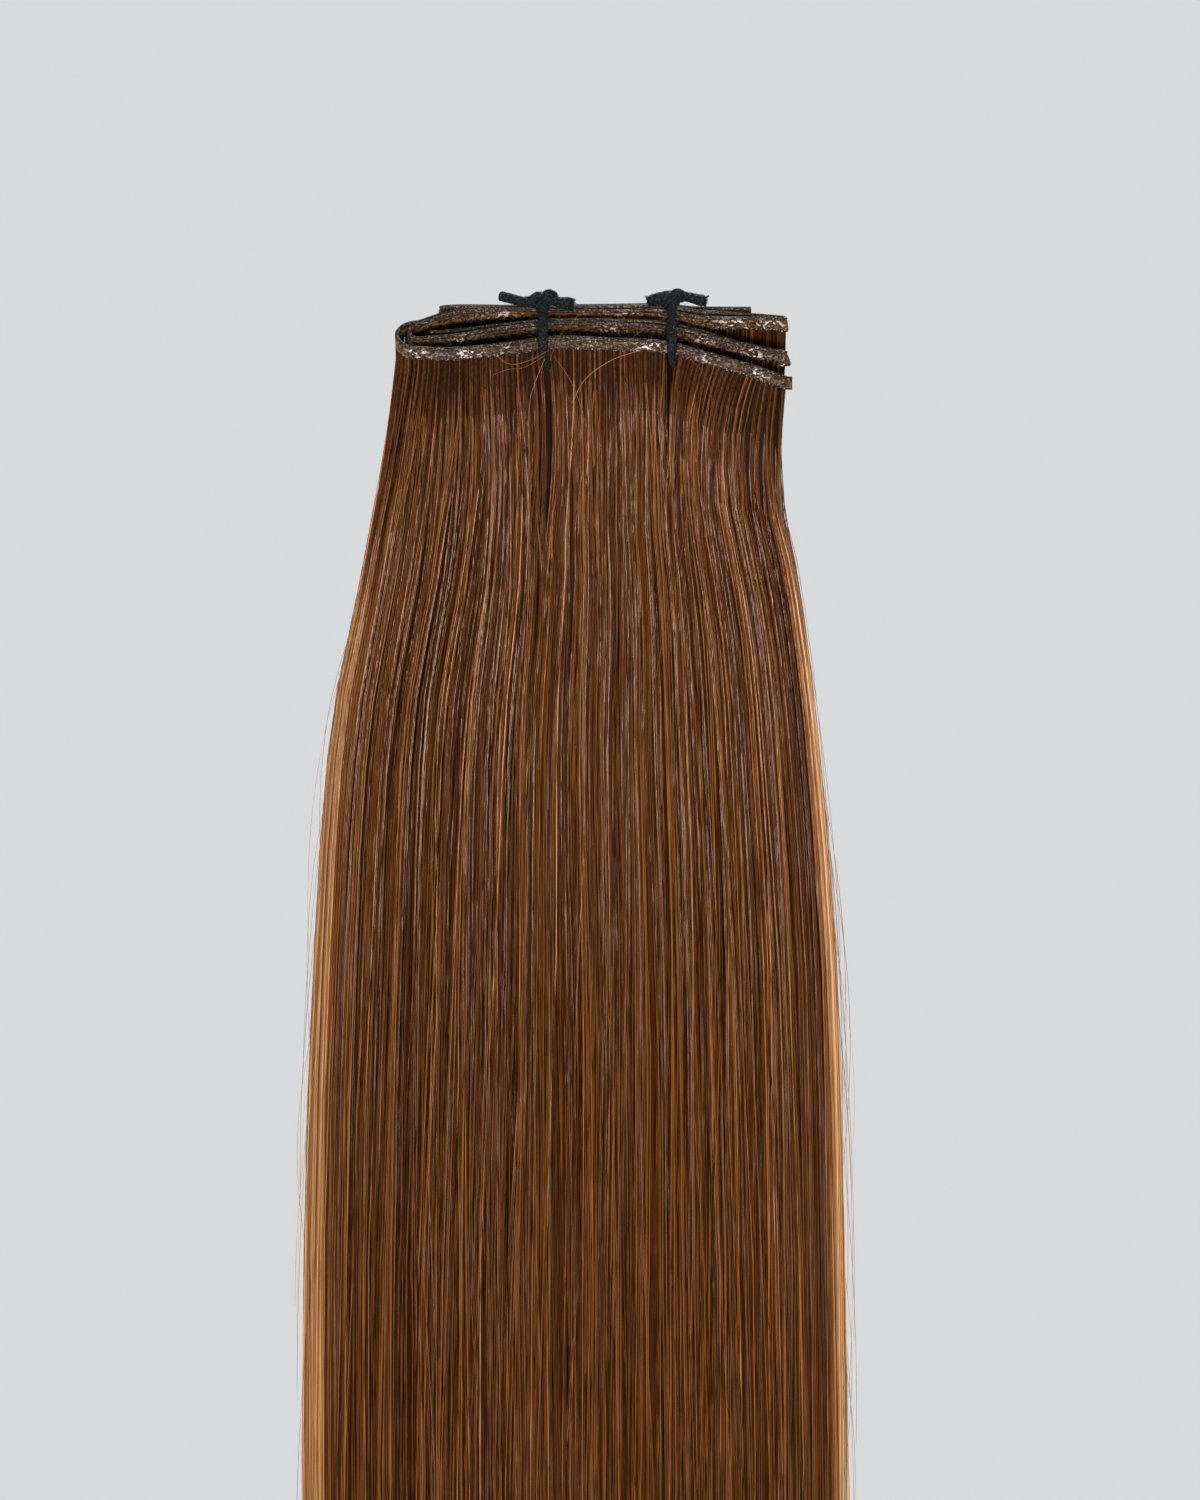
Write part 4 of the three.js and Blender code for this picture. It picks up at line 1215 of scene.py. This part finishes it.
def frayed_fibres(tip, way, radius, count, chance):
    """Short fibres that stand out of a cut end: their lines."""
    turn = chance.uniform(0, math.tau, count)
    reach = radius * np.sqrt(chance.uniform(0, 1, count))
    side = unit(np.cross(way, np.array([0.0, 0.3, 1.0])))
    other = np.cross(way, side)
    out = side * np.cos(turn)[:, None] + other * np.sin(turn)[:, None]
    start = tip - way * FIBRE_ROOT + out * reach[:, None] * FIBRE_ROOT
    length = chance.uniform(*FIBRE_LENGTHS, count)[:, None, None]
    splay = chance.uniform(*FIBRE_SPLAYS, count)[:, None, None]
    t = np.linspace(0.0, 1.0, 4)[None, :, None]
    return start[:, None, :] + length * (way * t + out[:, None, :] * splay * t * t)


def tie_cord(tie, material, seed):
    """One tie: its loop, the turns of its knot and its two tails, with frayed ends."""
    chance = np.random.default_rng(seed)
    centre = stack_points(tie["x"], *tie["knot"])
    cords = [braided_cord(curve_through(tie_route(tie)), CORD_RADIUS, LOOP_PINCH)]
    for turn in KNOT_TURNS:
        points = np.array(turn) + np.array([tie["x"], *tie["knot"]])
        cords.append(braided_cord(curve_through(stack_points(*points.T)), CORD_RADIUS))
    fibres = []
    for end_radius, fibre_count, points in tie["tails"]:
        line = curve_through(np.vstack([centre, stack_points(*np.array(points).T)]))
        cords.append(braided_cord(line, end_radius))
        way = unit(line[-1] - line[-4])
        fibres.append(frayed_fibres(line[-1], way, end_radius, fibre_count, chance))
    points, faces = join_sweeps([rings for rings, _ in cords])
    piece = make_piece(tie["name"] + "_braid", points, faces, material)
    yarn = np.concatenate([yarn.ravel() for _, yarn in cords])
    point_values(piece, "yarn", yarn, yarn.shape)
    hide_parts(tie["name"])
    fray_piece(tie["name"] + "_fray", np.concatenate(fibres), chance, material)


def fray_piece(name, lines, chance, material):
    """The fibres of a tie's frayed ends."""
    count, rings = lines.shape[:2]
    radius = np.full((count, rings), FIBRE_RADIUS)
    points = thin_tubes(lines, (0.1, 1.0, 0.2), radius, np.zeros(count))
    piece = make_piece(name, points, sweep_faces(count, rings, STRAND_SIDES), material)
    yarn = chance.uniform(*FIBRE_YARNS, count)[:, None, None]
    point_values(piece, "yarn", yarn, (count, rings, STRAND_SIDES))


# Floor, light and camera

FLOOR_Z = -2.4
FLOOR_HALF = 60.0
CAMERA_ELEVATION = math.radians(12.5)
CAMERA_DISTANCE = 2.5
CAMERA_LENS = 240.0
CAMERA_CLIP = 200.0
CAMERA_AIM = Vector((0.0, 0.0, -0.1133))
# Suns: name, elevation, azimuth from the front and width in degrees, and strength
SUNS = (
    ("key", 46.0, -34.0, 26.0, 2.4),
    ("rear", 30.0, 165.0, 20.0, 2.3),
)
LAMP_PLACE = Vector((0.15, -2.3, -0.36))
LAMP_SIZE = 0.55
LAMP_WATTS = 68.0
WORLD_COLOUR = (0.93, 0.94, 0.96, 1.0)
WORLD_STRENGTH = 0.32


def floor():
    """A plain pale floor far below the hanging hair."""
    corners = np.array([(-1, -1), (1, -1), (1, 1), (-1, 1)]) * FLOOR_HALF
    mesh = bpy.data.meshes.new("floor")
    mesh.from_pydata([(x, y, FLOOR_Z) for x, y in corners], [], [(0, 1, 2, 3)])
    mesh.materials.append(floor_material())
    thing = bpy.data.objects.new("floor", mesh)
    bpy.context.scene.collection.objects.link(thing)
    thing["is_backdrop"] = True


def aimed(name, data, place, way):
    """An object for a lamp or the camera, at a place and looking along a way."""
    thing = bpy.data.objects.new(name, data)
    thing.location = place
    thing.rotation_euler = way.to_track_quat("-Z", "Y").to_euler()
    bpy.context.scene.collection.objects.link(thing)
    return thing


def low_lamp():
    data = bpy.data.lights.new("low_front", "AREA")
    data.energy = LAMP_WATTS
    data.size = LAMP_SIZE
    lamp = aimed("low_front", data, LAMP_PLACE, CAMERA_AIM - LAMP_PLACE)
    lamp.visible_camera = False


def sun(name, elevation, azimuth, width, strength):
    data = bpy.data.lights.new(name, "SUN")
    data.energy = strength
    data.angle = math.radians(width)
    up, side = math.radians(elevation), math.radians(azimuth)
    level = math.cos(up)
    way = Vector((-level * math.sin(side), level * math.cos(side), -math.sin(up)))
    aimed(name, data, (0.0, 0.0, 0.0), way)


def lights():
    """Soft studio light: one low lamp, two broad suns and a pale world."""
    low_lamp()
    for row in SUNS:
        sun(*row)
    world = bpy.data.worlds.new("pale_world")
    world.use_nodes = True
    background = world.node_tree.nodes["Background"]
    background.inputs["Color"].default_value = WORLD_COLOUR
    background.inputs["Strength"].default_value = WORLD_STRENGTH
    bpy.context.scene.world = world


def camera():
    """A long lens at the photo's angle, a little above the bundle."""
    data = bpy.data.cameras.new("camera")
    data.lens = CAMERA_LENS
    data.clip_end = CAMERA_CLIP
    back = Vector((0.0, -math.cos(CAMERA_ELEVATION), math.sin(CAMERA_ELEVATION)))
    bpy.context.scene.camera = aimed("camera", data, CAMERA_AIM + back * CAMERA_DISTANCE, -back)


weft_strips(strip_material())
all_hair(hair_material(), shaded_core_material())
black_elastic = cord_material()
for number, tie in enumerate(TIES):
    tie_cord(tie, black_elastic, TIE_SEED + number)
floor()
lights()
camera()
bpy.context.scene.view_settings.view_transform = "Standard"

boxes = {"cad": cad_box, "visual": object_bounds()}
{name: [list(corner) for corner in box] for name, box in boxes.items()}
